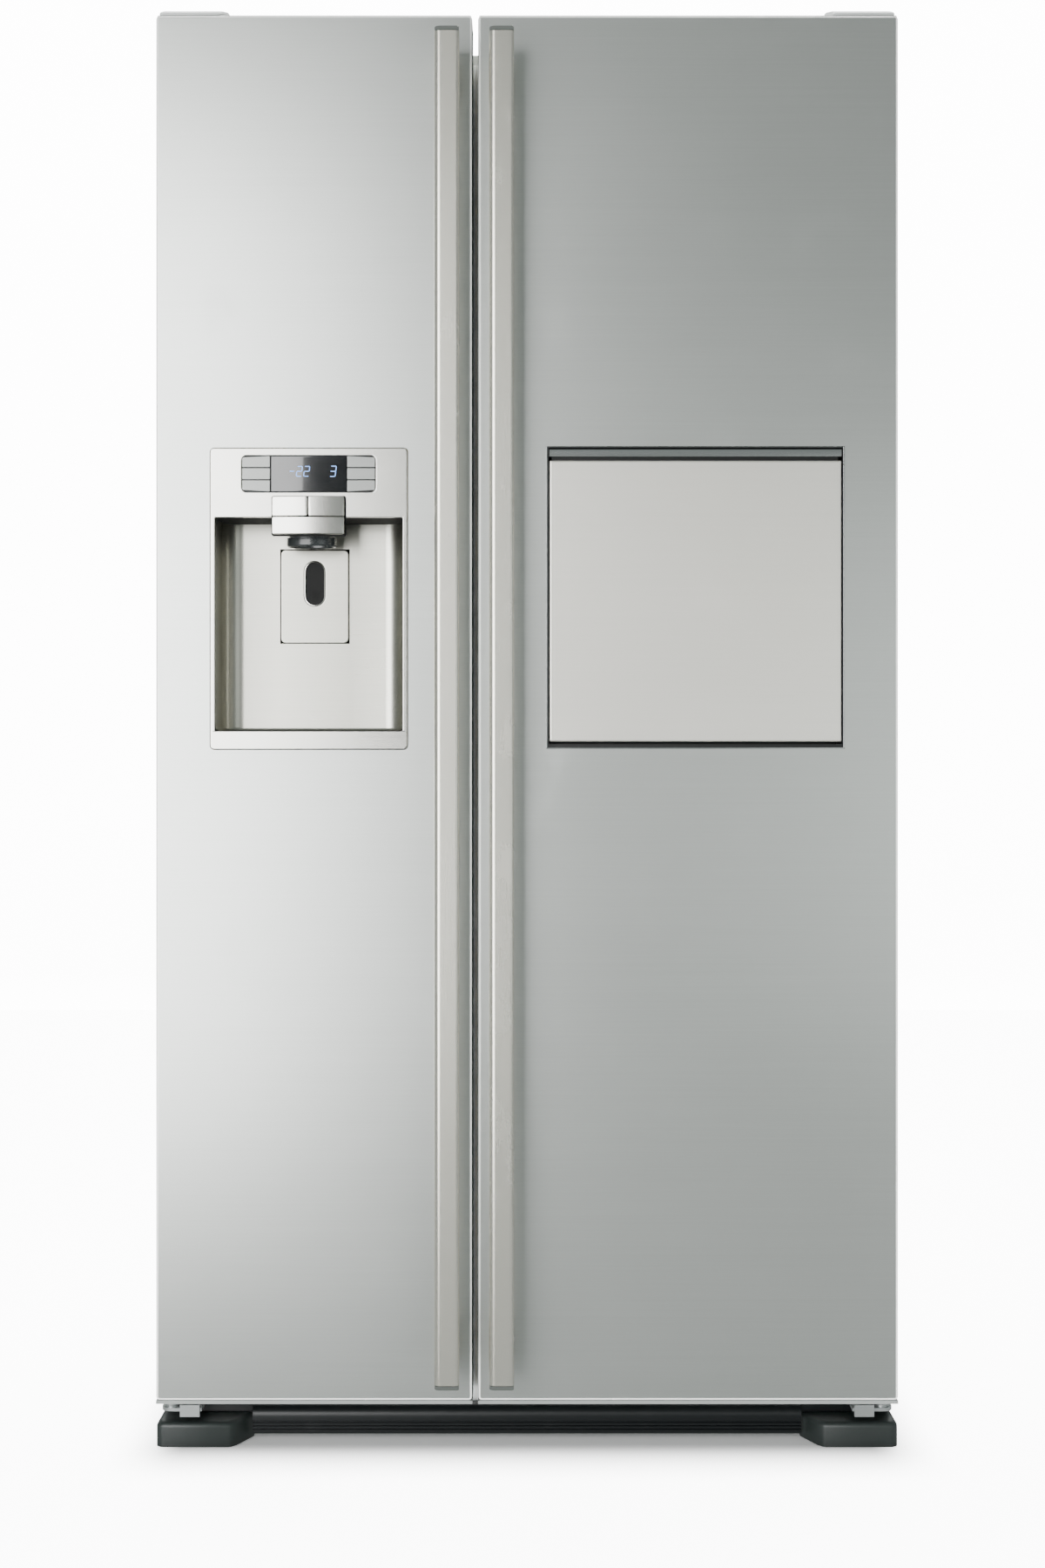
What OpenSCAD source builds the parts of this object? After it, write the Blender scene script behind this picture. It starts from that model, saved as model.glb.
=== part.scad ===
/* Side by side refrigerator: freezer on the left, fridge on the right.
   +Z is up, the doors face -Y, and X runs to the right as seen from the front.
   The origin lies on the floor, under the middle of the whole object. */

/* [Overall] */
// Width of the cabinet, and of both doors with the gap between them
cab_w = 908; // [880:1:1150]
// Height of the cabinet's top sheet above the floor
cab_top = 1728; // [1700:1:2150]
// Depth of the cabinet behind the doors
cab_d = 610; // [560:1:760]
// Highest point of the hinge covers above the cabinet's top sheet
hinge_cover_h = 61; // [50:1:80]
// Width of the part of each foot cover that stands past the cabinet's side
foot_over = 2; // [1:0.5:6]

/* [Doors] */
// Width of the freezer door
freezer_door_w = 387; // [370:1:460]
// Gap between the two doors
door_gap = 7; // [4:0.5:12]
// Thickness of a door without its gasket
door_t = 50; // [44:1:64]
// Distance from the back of a door to the front of the cabinet
seal_gap = 12; // [9:0.5:18]
// Height of the underside of the doors
door_z0 = 57; // [54:1:70]
// How far the doors rise above the cabinet's top sheet
door_over = 27; // [20:1:29]
// Thickness of the sheet steel of cabinet and doors
sheet = 1.2; // [0.8:0.1:2]
// Bevel along the upright edges of a door front
door_bevel = 2.5; // [1:0.5:5]
// Height of the dark end cap seen under a door's skin
cap_lip = 4; // [2:0.5:8]
// Thickness of a door's plastic end caps
cap_t = 14; // [8:1:20]
// Radius of a hinge pin
pin_r = 5; // [3:0.5:6]
// Distance of a hinge pin from the door's outer side
pin_in = 16; // [14:1:24]
// Distance of a hinge pin behind the door's front
pin_back = 24; // [18:1:28]
// Clearance between a hinge pin and its bush, on the radius
pin_fit = 0.05; // [0.03:0.01:0.1]
// Width of the gasket's face
gasket_w = 14; // [10:1:20]
// Gap left between a gasket and the cabinet
gasket_gap = 0.3; // [0.2:0.1:1]

/* [Handles] */
// Width of a handle bar
handle_w = 30; // [22:1:40]
// Thickness of a handle bar from front to back
handle_t = 19; // [12:1:26]
// Distance of a handle bar's front from the door's front
handle_proud = 62; // [50:1:80]
// Distance from the middle of a handle to the middle of the gap between the doors
handle_x = 32.8; // [30:0.1:60]
// Distance from a door's end to the end of its handle
handle_end = 35.5; // [20:0.5:120]
// Height of the stand-off at each end of a handle
standoff_h = 60; // [30:1:90]
// Radius of the rounded outer edge of a handle bar
handle_r = 7; // [3:0.5:9]

/* [Insulation] */
// Thickness of the cabinet's side walls and top
wall = 50; // [40:1:64]
// Thickness of the wall between freezer and fridge
mullion = 50; // [40:1:60]
// Thickness of the cabinet's back wall
back_wall = 70; // [50:1:90]
// Height of the cavity floor above the room floor
cav_z0 = 125; // [110:1:160]
// Thickness of the plastic liners
liner_t = 1.5; // [1:0.1:2.5]
// Depth from the back to the step over the compressor room
step_d = 287; // [260:1:320]
// Height of the step over the compressor room
step_z = 370; // [340:1:400]
// Foam between the step and the compressor room
step_wall = 38; // [30:1:60]

/* [Dispenser] */
// Width of the dispenser bezel
disp_w = 241.2; // [225:0.1:260]
// Height of the dispenser bezel
disp_h = 368; // [340:1:400]
// Height of the dispenser's lower edge above the floor
disp_z0 = 857.4; // [800:0.1:1000]
// Distance of the dispenser's left edge from the freezer door's left side
disp_in = 66.6; // [60:0.1:90]
// Gap line between bezel and door skin
disp_gap = 0.8; // [0.4:0.1:2]
// Depth of the dispenser recess behind the door's front
recess_d = 70; // [60:1:78]
// Height of the bezel's lower lip
lip_h = 22.6; // [14:0.1:34]
// Height of the panel over the recess
head_h = 84.7; // [80:0.1:100]
// Width of the bezel strip beside the recess
strip_w = 6; // [4:0.5:9]
// Width of the key and display field
field_w = 163.5; // [150:0.5:190]
// Height of the key and display field
field_h = 44.7; // [36:0.1:54]
// Distance of the key field below the bezel's top
field_drop = 9.1; // [6:0.1:14]
// Width of one key
key_w = 35.2; // [26:0.1:38]
// Gap around a key
key_gap = 0.5; // [0.3:0.1:1]
// Travel of a key
key_travel = 1; // [0.5:0.1:1.5]
// Width of the pair of press buttons over the recess
buttons_w = 88; // [70:1:110]
// Height of the press buttons
buttons_h = 24.2; // [18:0.1:30]
// Height of the fixed chute cover under the press buttons
cover_h = 21.6; // [16:0.1:28]
// Distance from the bezel's top to the press buttons' top
buttons_drop = 60.2; // [58:0.1:66]
// How far the press buttons stand in front of the door
buttons_proud = 14; // [9:1:22]
// Travel of a press button
button_travel = 1.5; // [1:0.1:2.5]
// Width of the lever pad
lever_w = 85; // [60:1:110]
// Height of the lever pad
lever_h = 117; // [90:1:140]
// Largest swing of the lever pad in degrees
lever_swing = 8; // [4:1:10]
// Radius of the funnel's mouth
funnel_r = 33; // [24:1:38]

/* [Home bar] */
// Width of the home bar frame
bar_w = 365.3; // [320:0.1:400]
// Height of the home bar frame
bar_h = 370; // [320:1:400]
// Height of the home bar's lower edge above the floor
bar_z0 = 858; // [800:1:1000]
// Distance of the home bar from the fridge door's hinge side
bar_in = 65.5; // [60:0.1:90]
// Wall of the home bar frame
bar_frame_t = 3; // [2:0.5:6]
// Gap around the flap
flap_gap = 1; // [0.6:0.1:2]
// Thickness of the flap
flap_t = 44; // [34:1:48]
// Height of the grip rail along the flap's top
rail_h = 9.7; // [8:0.1:14]
// Finger groove between grip rail and flap
groove_h = 4.8; // [3:0.1:10]
// Depth of the home bar's inner case behind the door
case_depth = 105; // [60:1:110]

/* [Inside] */
// Thickness of a glass shelf
glass_t = 5; // [4:0.5:8]
// Depth of a full shelf
shelf_d = 320; // [260:1:330]
// Heights of the freezer shelves
freezer_shelves = [430, 620, 790, 1010, 1240];
// Heights of the fridge shelves
fridge_shelves = [590, 800, 1010, 1220, 1450];
// Heights of the freezer door bins
freezer_bins = [650, 1420, 1560];
// Heights of the fridge door bins
fridge_bins = [650, 1260, 1400, 1540];
// Height of a door bin's walls
bin_h = 90; // [60:1:110]
// Depth of a door bin
bin_d = 92; // [70:1:94]
// Wall of bins, drawers and the ice bucket
tub_t = 2.5; // [2:0.1:4]
// Distance of the drawers' fronts behind the cabinet's front
drawer_in = 113; // [108:1:140]
// Height of the lower drawers
low_drawer_h = 200; // [150:1:215]
// Height of the upper drawers
high_drawer_h = 190; // [140:1:195]
// Travel of a drawer while its door is shut
drawer_travel = 85; // [40:1:88]

/* [Base] */
// Radius of the rear rollers
roller_r = 19; // [15:1:22]
// Width of a rear roller
roller_w = 24; // [16:1:30]
// Height of the foot covers
foot_h = 31; // [24:1:34]
// Width of a foot cover's front
foot_w = 93; // [80:1:120]
// Distance of the foot covers' front behind the door's front
foot_in = 9; // [4:1:20]
// Height of the kick plate's upper edge
kick_top = 41.5; // [38:0.5:42]
// Height of the kick plate's lower edge
kick_low = 7; // [4:0.5:14]

/* [Hidden] */
$fn = 64;

// Depth stations, from the handles' front to the cabinet's back
total_d = handle_proud + door_t + seal_gap + cab_d;
back_y = total_d / 2;
case_y = back_y - cab_d;
door_y1 = case_y - seal_gap;
door_y0 = door_y1 - door_t;
handle_y0 = door_y0 - handle_proud;
gasket_y1 = case_y - gasket_gap;

// Heights
base_z = 42;
skirt_z = 32;
case_top = cab_top;
door_z1 = case_top + door_over;
cav_z1 = case_top - wall;

// Sideways stations
half_w = cab_w / 2;
gap_x = -half_w + freezer_door_w + door_gap / 2;
freezer_door_x1 = gap_x - door_gap / 2;
fridge_door_x0 = gap_x + door_gap / 2;
freezer_x0 = -half_w + wall;
freezer_x1 = gap_x - mullion / 2;
fridge_x0 = gap_x + mullion / 2;
fridge_x1 = half_w - wall;
pin_x = half_w - pin_in;
pin_y = door_y0 + pin_back;

// Cavity depth
cav_y1 = back_y - back_wall;
step_y = back_y - step_d;
room_y = step_y + step_wall + liner_t;
room_z = step_z - step_wall - liner_t;

// Small clearances
slip = 0.3;
seat = 0.2;

// Width of the sheet steel flanges at the cabinet's front and back
flange = 12;

// Door liners: the raised plug and the ribs that carry the bins
plug_h = 18;
plug_in = 10;
plug_free = 23.6;
rib_w = 12;
rib_d = 47;
rib_z = 630;
liner_y0 = door_y1 - liner_t;
plug_y1 = door_y1 + plug_h;
rib_y1 = plug_y1 + rib_d;
bin_y1 = plug_y1 + slip + bin_d;

// Dispenser
disp_x0 = -half_w + disp_in;
disp_x1 = disp_x0 + disp_w;
disp_x = (disp_x0 + disp_x1) / 2;
disp_z1 = disp_z0 + disp_h;
bezel_y0 = door_y0 - 2;
bezel_y1 = door_y0 + 2;
recess_x0 = disp_x0 + strip_w;
recess_x1 = disp_x1 - strip_w;
recess_z0 = disp_z0 + lip_h;
recess_z1 = disp_z1 - head_h;
recess_y1 = door_y0 + recess_d;
recess_r = 26;
recess_t = 2;
field_z1 = disp_z1 - field_drop;
field_z0 = field_z1 - field_h;
field_r = 6;
key_pitch = field_h / 3;
board_y0 = door_y0 + 4;
buttons_z1 = disp_z1 - buttons_drop;
buttons_z0 = buttons_z1 - buttons_h;
cover_z0 = buttons_z0 - cover_h;
button_y0 = door_y0 - buttons_proud;
mount_y0 = door_y0 - 4;
button_y1 = mount_y0 - button_travel - 0.3;
chute_r = 25;
chute_y = door_y0 + 36;
chute_top = 1338;
mouth_z0 = 1276;
bulge_y1 = recess_y1 + 30;
bulge_z1 = chute_top + 8;

// Lever pad: hung from a pin at its upper edge
lever_t = 3;
lever_pin_r = 1.5;
lever_z1 = recess_z1 - 32;
lever_z0 = lever_z1 - lever_h;
lever_y0 = recess_y1 - 1;
lever_pin_z = lever_z1 - 4;
lever_pin_y = lever_y0 + lever_t + 1.5;
pocket_y1 = recess_y1 + 24;

// Home bar
bar_x1 = half_w - bar_in;
bar_x0 = bar_x1 - bar_w;
bar_z1 = bar_z0 + bar_h;
flap_x0 = bar_x0 + bar_frame_t + flap_gap;
flap_x1 = bar_x1 - bar_frame_t - flap_gap;
flap_y0 = door_y0 - 1;
flap_y1 = flap_y0 + flap_t;
flap_z0 = bar_z0 + 9;
flap_z1 = bar_z1 - 3;
flap_panel_z1 = flap_z1 - rail_h - groove_h;
flap_skin_t = 14;
flap_pin_y = flap_y0 + 5;
flap_pin_z = flap_z0 + 4;
flap_pin_r = 2;
case_y1 = door_y1 + case_depth;
case_wall = 3;

// Drawers
drawer_y0 = case_y + drawer_in;
low_drawer_y1 = step_y - 5;
high_drawer_y1 = cav_y1 - 67;
low_drawer_z = cav_z0 + 3.5;
high_drawer_z = step_z + 12;
drawer_side = 6;

// Freezer back: evaporator space and its fan
evap_y = cav_y1 - 57;
evap_fan_z = 1120;
evap_fan_r = 50;

// Base
foot_slant = 20;
leg_r = 5;
leg_x = half_w - 60;
leg_y = case_y + 22;
roller_x = half_w - 70;
roller_y = back_y - 40;
axle_r = 4;

// A box given by two opposite corners
module block(a, b) {
    translate(a) cube(b - a);
}

// An outline in Y and Z, run along X from x0 to x1
module along_x(x0, x1) {
    translate([x0, 0, 0]) rotate([90, 0, 90]) linear_extrude(x1 - x0) children();
}

// An outline in X and Z, run along Y from y0 to y1
module along_y(y0, y1) {
    translate([0, y1, 0]) rotate([90, 0, 0]) linear_extrude(y1 - y0) children();
}

// An outline in X and Y, run along Z from z0 to z1
module along_z(z0, z1) {
    translate([0, 0, z0]) linear_extrude(z1 - z0) children();
}

// A flat rectangle given by two opposite corners
module plate(a, b) {
    translate(a) square(b - a);
}

// A rectangle with round corners, built from two bars and four discs
module round_plate(a, b, r) {
    plate([a[0] + r, a[1]], [b[0] - r, b[1]]);
    plate([a[0], a[1] + r], [b[0], b[1] - r]);
    for (x = [a[0] + r, b[0] - r], y = [a[1] + r, b[1] - r]) {
        translate([x, y]) circle(r);
    }
}

// The same piece on the left and on the right
module both_sides() {
    children();
    mirror([1, 0, 0]) children();
}

// An open tub with walls of one thickness
module tub(a, b, t) {
    difference() {
        block(a, b);
        block(a + [t, t, t], b + [-t, -t, 1]);
    }
}

// ---------- Cabinet ----------

// Folded sheet steel: both sides and the top in one piece, with a narrow
// flange turned in at the front and the back
module outer_case() {
    color("gainsboro") {
        along_y(case_y, back_y) difference() {
            plate([-half_w, skirt_z], [half_w, case_top]);
            plate([-half_w + sheet, skirt_z - 1], [half_w - sheet, case_top - sheet]);
        }
        for (y = [case_y, back_y - sheet]) {
            along_y(y, y + sheet) difference() {
                plate([-half_w + sheet / 2, base_z], [half_w - sheet / 2, case_top - sheet / 2]);
                plate([-half_w + flange, base_z - 1], [half_w - flange, case_top - flange]);
            }
        }
    }
}

// Back sheet over the foam, above the compressor room
module rear_panel() {
    x1 = half_w - flange - seat;
    color("silver")
        block([-x1, back_y - sheet, room_z + 2], [x1, back_y - 0.1, case_top - flange - seat]);
}

// The side view of a cavity, with its step over the compressor room,
// grown on every side but the front
module cavity_outline(front, grow) {
    polygon([
        [front, cav_z0 - grow], [step_y + grow, cav_z0 - grow],
        [step_y + grow, step_z - grow], [cav_y1 + grow, step_z - grow],
        [cav_y1 + grow, cav_z1 + grow], [front, cav_z1 + grow]
    ]);
}

// Foam in the walls, one solid for each wall that it fills
module cabinet_foam() {
    x0 = -half_w + sheet;
    xa = freezer_x0 - liner_t;
    xb = fridge_x1 + liner_t;
    y0 = case_y + liner_t;
    y1 = back_y - sheet;
    top = case_top - sheet;
    floor_z1 = cav_z0 - liner_t;
    shelf_z1 = step_z - liner_t;
    ceiling_z0 = cav_z1 + liner_t;
    color("khaki") {
        block([x0, y0, base_z], [xa, y1, top]);
        block([xb, y0, base_z], [-x0, y1, top]);
        block([xa + seat, y0, ceiling_z0], [xb - seat, y1, top]);
        block([xa + seat, cav_y1 + liner_t, shelf_z1 + seat], [xb - seat, y1, ceiling_z0 - seat]);
        block([xa + seat, y0, base_z], [xb - seat, step_y + liner_t - seat, floor_z1]);
        block([xa + seat, step_y + liner_t, base_z], [xb - seat, room_y, shelf_z1]);
        block([xa + seat, room_y + seat, room_z], [xb - seat, y1, shelf_z1]);
        along_x(freezer_x1 + liner_t, fridge_x0 - liner_t) {
            plate([y0, floor_z1 + seat], [step_y + liner_t - seat, ceiling_z0 - seat]);
            plate([step_y + liner_t, shelf_z1 + seat], [cav_y1 + liner_t - seat, ceiling_z0 - seat]);
        }
    }
}

// Vacuum-formed liner of one cavity, with its flange over the front of the foam
module liner(x0, x1, flange_x0, flange_x1) {
    difference() {
        union() {
            along_x(x0 - liner_t, x1 + liner_t) cavity_outline(case_y, liner_t);
            block([flange_x0, case_y, base_z], [flange_x1, case_y + liner_t, case_top - flange - seat]);
        }
        along_x(x0, x1) cavity_outline(case_y - 1, 0);
    }
}

// Pair of runners on a liner's side walls, under an upper drawer
module runners(x0, x1) {
    for (x = [x0 - 0.5, x1 - 11.5]) {
        block([x, drawer_y0 + 9, high_drawer_z - 8], [x + 12, high_drawer_y1, high_drawer_z - 0.5]);
    }
}

module freezer_liner() {
    color("white") liner(freezer_x0, freezer_x1, -half_w + flange + seat, gap_x - seat);
}

module fridge_liner() {
    color("white") {
        liner(fridge_x0, fridge_x1, gap_x + seat, half_w - flange - seat);
        runners(fridge_x0, fridge_x1);
    }
}

// Steel base: pan, side rails, front rail with the legs' threads, roller ears
module base_frame() {
    x1 = half_w - sheet - seat;
    rail_w = 28;
    difference() {
        color("darkgray") union() {
            block([-x1, case_y, base_z - 2], [x1, back_y - sheet, base_z]);
            both_sides() {
                block([x1 - 2, case_y, 24], [x1, back_y - sheet, base_z - 2]);
                block([x1 - rail_w, case_y, 24], [x1, back_y - sheet, 26]);
                for (x = [roller_x - roller_w / 2 - 4, roller_x + roller_w / 2 + 2]) {
                    block([x, roller_y - 12, roller_r - 9], [x + 2, roller_y + 12, base_z - 2]);
                }
                block([leg_x - 20, leg_y - 15, 26], [leg_x + 20, leg_y + 15, base_z - 2]);
            }
        }
        both_sides() {
            along_x(roller_x - roller_w, roller_x + roller_w)
                translate([roller_y, roller_r]) circle(axle_r + pin_fit);
            along_z(20, base_z + 1) translate([leg_x, leg_y]) circle(leg_r);
        }
    }
}

// Front panel under the doors, rounded over at its upper edge
module kick_plate() {
    y0 = door_y0 + 38;
    r = 12;
    x1 = half_w - foot_w - foot_slant - seat;
    color("darkslategray") along_x(-x1, x1) {
        difference() {
            union() {
                plate([y0, kick_low], [y0 + r, kick_top - r]);
                translate([y0 + r, kick_top - r]) circle(r);
                plate([y0 + r, kick_top - r], [case_y - slip, kick_top]);
            }
            plate([y0 + 3, kick_low - 1], [y0 + r + 1, kick_top - r]);
            translate([y0 + r, kick_top - r]) circle(r - 3);
            plate([y0 + r, kick_low - 1], [case_y, kick_top - 3]);
        }
    }
}

// Hollow moulded covers over the front corners of the base
module foot_covers() {
    x0 = half_w + foot_over;
    x1 = half_w - foot_w;
    y0 = door_y0 + foot_in;
    y1 = case_y - slip;
    r = 10;
    cover_z0 = 1;
    color("dimgray") both_sides() difference() {
        along_z(cover_z0, foot_h) foot_outline(x0, x1, y0, y1, r);
        along_z(cover_z0 - 1, foot_h - 3) foot_outline(x0 - 3, x1 + 3, y0 + 3, y1 + 1, r - 3);
    }
}

// A foot cover seen from above, its inner end slanting back to the kick plate
module foot_outline(x0, x1, y0, y1, r) {
    polygon([
        [x0, y0 + r], [x0, y1], [x1 - foot_slant, y1], [x1 - foot_slant, y1 - 12], [x1, y0], [x0 - r, y0]
    ]);
    translate([x0 - r, y0 + r]) circle(r);
}

// Threaded levelling legs behind the foot covers
module levelling_legs() {
    color("gray") both_sides() {
        along_z(0, 9) translate([leg_x, leg_y]) circle(15);
        along_z(9, 20) translate([leg_x, leg_y]) circle(9);
        along_z(20, base_z - 3) translate([leg_x, leg_y]) circle(leg_r - 0.05);
    }
}

// Stepped steel plates: screwed to the cabinet's top, reaching over the door
module top_hinges() {
    t = 3;
    arm_z = door_z1 + 1.2;
    arm_w = 10;
    color("silver") both_sides() {
        block([pin_x - 60, case_y + 6, case_top], [half_w - 6, case_y + 110, case_top + t]);
        block([pin_x - 24, case_y + 6, case_top], [pin_x + arm_w, case_y + 10, arm_z + t]);
        along_z(arm_z, arm_z + t) {
            plate([pin_x - arm_w, pin_y], [pin_x + arm_w, case_y + 10]);
            plate([pin_x - 24, case_y + 2], [pin_x + arm_w, case_y + 10]);
            translate([pin_x, pin_y]) circle(arm_w);
        }
        along_z(door_z1 - cap_t + 2, arm_z + t) translate([pin_x, pin_y]) circle(pin_r);
    }
}

// Steel brackets on the base that carry the doors' weight
module bottom_hinges() {
    t = 4;
    plate_z = 44;
    color("silver") both_sides() {
        along_z(plate_z, plate_z + t) {
            plate([pin_x - 38, pin_y], [pin_x + 12, case_y - seat]);
            translate([pin_x, pin_y]) circle(12);
            plate([pin_x - 38, pin_y - 12], [pin_x, pin_y]);
        }
        block([pin_x - 38, case_y - seat - 4, foot_h + 0.5], [pin_x + 12, case_y - seat, plate_z + t]);
        block([pin_x - 36, pin_y - 16, 38.5], [pin_x - 12, pin_y - 11, 53]);
        along_z(plate_z + t, door_z0 - 0.5) translate([pin_x, pin_y]) circle(9);
        along_z(door_z0 - 0.5, door_z0 + cap_t - 2) translate([pin_x, pin_y]) circle(pin_r);
    }
}

// Hollow plastic covers over the top hinges, low over the door and high behind
module hinge_covers() {
    x0 = pin_x - 68;
    x1 = half_w - 3;
    t = 2.5;
    color("lightgray") both_sides() difference() {
        along_x(x0, x1) cover_outline(0);
        along_x(x0 + t, x1 - t) cover_outline(t);
    }
}

// Side view of a hinge cover, drawn in by its wall where it is hollow
module cover_outline(t) {
    y0 = pin_y - 18 + t;
    y1 = case_y + 125 - t;
    over_door = door_z1 + 1.2;
    under = over_door - (t > 0 ? 3 : 0);
    low = case_top + (t > 0 ? -1 : 0.1);
    top = case_top + hinge_cover_h - t;
    polygon([
        [y0, under], [y0, over_door + 5 - t], [y0 + 26, over_door + 16 - t],
        [case_y + 18, top], [y1 - 10, top], [y1, top - 10], [y1, low],
        [case_y + 1 + t, low], [case_y + 1 + t, under]
    ]);
}

// ---------- Inside of the cabinet ----------

shelf_side = 4;

// Toughened glass shelves, freezer and fridge
module shelf_glasses() {
    inset = shelf_side + 8;
    color("lightcyan", 0.5) {
        for (z = freezer_shelves) {
            block([freezer_x0 + inset, evap_y - 8 - shelf_d, z],
                [freezer_x1 - inset, evap_y - 8, z + glass_t]);
        }
        for (z = fridge_shelves) {
            block([fridge_x0 + inset, cav_y1 - 10 - shelf_d, z],
                [fridge_x1 - inset, cav_y1 - 10, z + glass_t]);
        }
    }
}

// Plastic trims round the glass: a front nosing and two side rails
module shelf_trim(x0, x1, y0, y1, z) {
    difference() {
        union() {
            block([x0, y0 - 10, z - 6], [x1, y0 + 6, z + glass_t + 3]);
            for (x = [x0, x1 - 14]) {
                block([x, y0, z - 6], [x + 14, y1, z + glass_t + 1]);
            }
        }
        block([x0 + 8 - seat, y0 - seat, z - seat], [x1 - 8 + seat, y1 + 1, z + glass_t + seat]);
    }
}

module shelf_trims() {
    color("whitesmoke") {
        for (z = freezer_shelves) {
            shelf_trim(freezer_x0 + shelf_side, freezer_x1 - shelf_side,
                evap_y - 8 - shelf_d, evap_y - 8, z);
        }
        for (z = fridge_shelves) {
            shelf_trim(fridge_x0 + shelf_side, fridge_x1 - shelf_side,
                cav_y1 - 10 - shelf_d, cav_y1 - 10, z);
        }
    }
}

// Panel in front of the evaporator, with air slots and the fan's opening
module evaporator_cover() {
    mid = (freezer_x0 + freezer_x1) / 2;
    color("white") along_y(evap_y, evap_y + 3) difference() {
        plate([freezer_x0 + 1, step_z + 1], [freezer_x1 - 1, cav_z1 - 1]);
        translate([mid, evap_fan_z]) circle(evap_fan_r + 4);
        for (i = [0:5]) {
            plate([mid - 90, cav_z1 - 60 - i * 14], [mid + 90, cav_z1 - 54 - i * 14]);
            plate([mid - 90, step_z + 60 + i * 14], [mid + 90, step_z + 66 + i * 14]);
        }
    }
}

// Tubes and fins of a heat exchanger; the tubes run along X
module finned_coil(a, b, rows, deep, fins) {
    size = b - a;
    for (i = [0:rows - 1], j = [0:deep - 1]) {
        along_x(a[0], b[0])
            translate([a[1] + (j + 0.5) * size[1] / deep, a[2] + (i + 0.5) * size[2] / rows]) circle(4, $fn = 24);
    }
    for (k = [0:fins - 1]) {
        x = a[0] + 8 + k * (size[0] - 17) / (fins - 1);
        block([x, a[1], a[2]], [x + 1, b[1], b[2]]);
    }
}

module evaporator() {
    color("lightsteelblue")
        finned_coil([freezer_x0 + 20, evap_y + 12, 640], [freezer_x1 - 20, cav_y1 - 6, 900], 5, 1, 14);
}

// Ice mould with its drive box, hung under the freezer's ceiling
module ice_maker() {
    x0 = freezer_x0 + 30;
    x1 = freezer_x1 - 20;
    y0 = case_y + 190;
    z0 = cav_z1 - 150;
    color("whitesmoke") {
        tub([x0 + 50.3, y0, z0], [x1, y0 + 110, z0 + 40], 4);
        block([x0, y0 - 5, z0 - 20], [x0 + 50, y0 + 115, cav_z1 - 1]);
        block([x1 + 0.3, y0, z0], [x1 + 4, y0 + 110, cav_z1 - 1]);
        for (i = [1:6]) {
            x = x0 + 50 + i * (x1 - x0 - 54) / 7;
            block([x, y0 + 3, z0 + 3], [x + 2, y0 + 107, z0 + 34]);
        }
    }
}

// Bucket under the ice maker, with a mouth facing the chute in the door
bucket_y0 = case_y + 62;
bucket_y1 = bucket_y0 + 300;
bucket_z0 = 1254;
bucket_h = 130;
auger_z = bucket_z0 + 48;
auger_r = 34;
module ice_bucket() {
    x0 = freezer_x0 + 14;
    x1 = freezer_x1 - 14;
    color("aliceblue") difference() {
        tub([x0, bucket_y0, bucket_z0], [x1, bucket_y1, bucket_z0 + bucket_h], tub_t);
        along_y(bucket_y0 - 1, bucket_y0 + tub_t + 1) translate([disp_x, auger_z]) circle(chute_r);
        along_y(bucket_y1 - tub_t - 1, bucket_y1 + 1)
            translate([disp_x, auger_z]) circle(5 + pin_fit);
    }
}

// Auger that pushes the ice forward: a shaft with paddles in a spiral
module ice_auger() {
    color("gainsboro") {
        along_y(bucket_y0 + 6, bucket_y1 + 8) translate([disp_x, auger_z]) circle(5);
        for (i = [0:11]) {
            translate([disp_x, bucket_y0 + 18 + i * 22, auger_z]) rotate([0, i * 40, 0])
                block([-auger_r, 0, -7], [auger_r, 3, 7]);
        }
    }
}

// An open tray with a grip along its front
module drawer(x0, x1, y1, z0, h) {
    difference() {
        union() {
            tub([x0 + drawer_side, drawer_y0 + 8, z0], [x1 - drawer_side, y1, z0 + h - 6], tub_t);
            block([x0 + 3, drawer_y0, z0 - 3], [x1 - 3, drawer_y0 + 8, z0 + h]);
        }
        block([x0 + 60, drawer_y0 - 1, z0 + h - 30], [x1 - 60, drawer_y0 + 5, z0 + h - 12]);
    }
}

module upper_crisper() {
    color("aliceblue", 0.7) drawer(fridge_x0, fridge_x1, high_drawer_y1, high_drawer_z, high_drawer_h);
}

module lower_crisper() {
    color("aliceblue", 0.7) drawer(fridge_x0, fridge_x1, low_drawer_y1, low_drawer_z, low_drawer_h);
}

module freezer_drawer() {
    color("aliceblue", 0.7) drawer(freezer_x0, freezer_x1, low_drawer_y1, low_drawer_z, low_drawer_h);
}

// ---------- Machinery behind and below ----------

// A fan: hub and flat pitched blades, turning about Y
module fan(x, y, z, r, blades) {
    translate([x, y, z]) {
        along_y(-9, 9) circle(r * 0.3);
        for (i = [0:blades - 1]) {
            rotate([0, i * 360 / blades, 0]) translate([r * 0.28, 0, 0]) rotate([30, 0, 0])
                block([0, -1, -r * 0.22], [r * 0.7, 1, r * 0.22]);
        }
    }
}

module evaporator_fan() {
    color("dimgray") fan((freezer_x0 + freezer_x1) / 2, evap_y + 26, evap_fan_z, evap_fan_r, 5);
}

// Hermetic compressor: welded steel shell on a foot plate with rubber feet
compressor_x = 250;
compressor_y = back_y - 105;
module compressor() {
    shell_r = 72;
    color("dimgray") {
        translate([compressor_x, compressor_y, base_z + 22]) rotate_extrude() polygon([
            [0, 0], [shell_r - 14, 0], [shell_r, 16], [shell_r, 110], [shell_r - 12, 140],
            [shell_r - 34, 156], [0, 160]
        ]);
        block([compressor_x - 95, compressor_y - 60, base_z + 18.2],
            [compressor_x + 95, compressor_y + 60, base_z + 21.8]);
        for (x = [compressor_x - 80, compressor_x + 80], y = [compressor_y - 45, compressor_y + 45]) {
            along_z(base_z, base_z + 18) translate([x, y]) circle(12);
        }
    }
}

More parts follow.
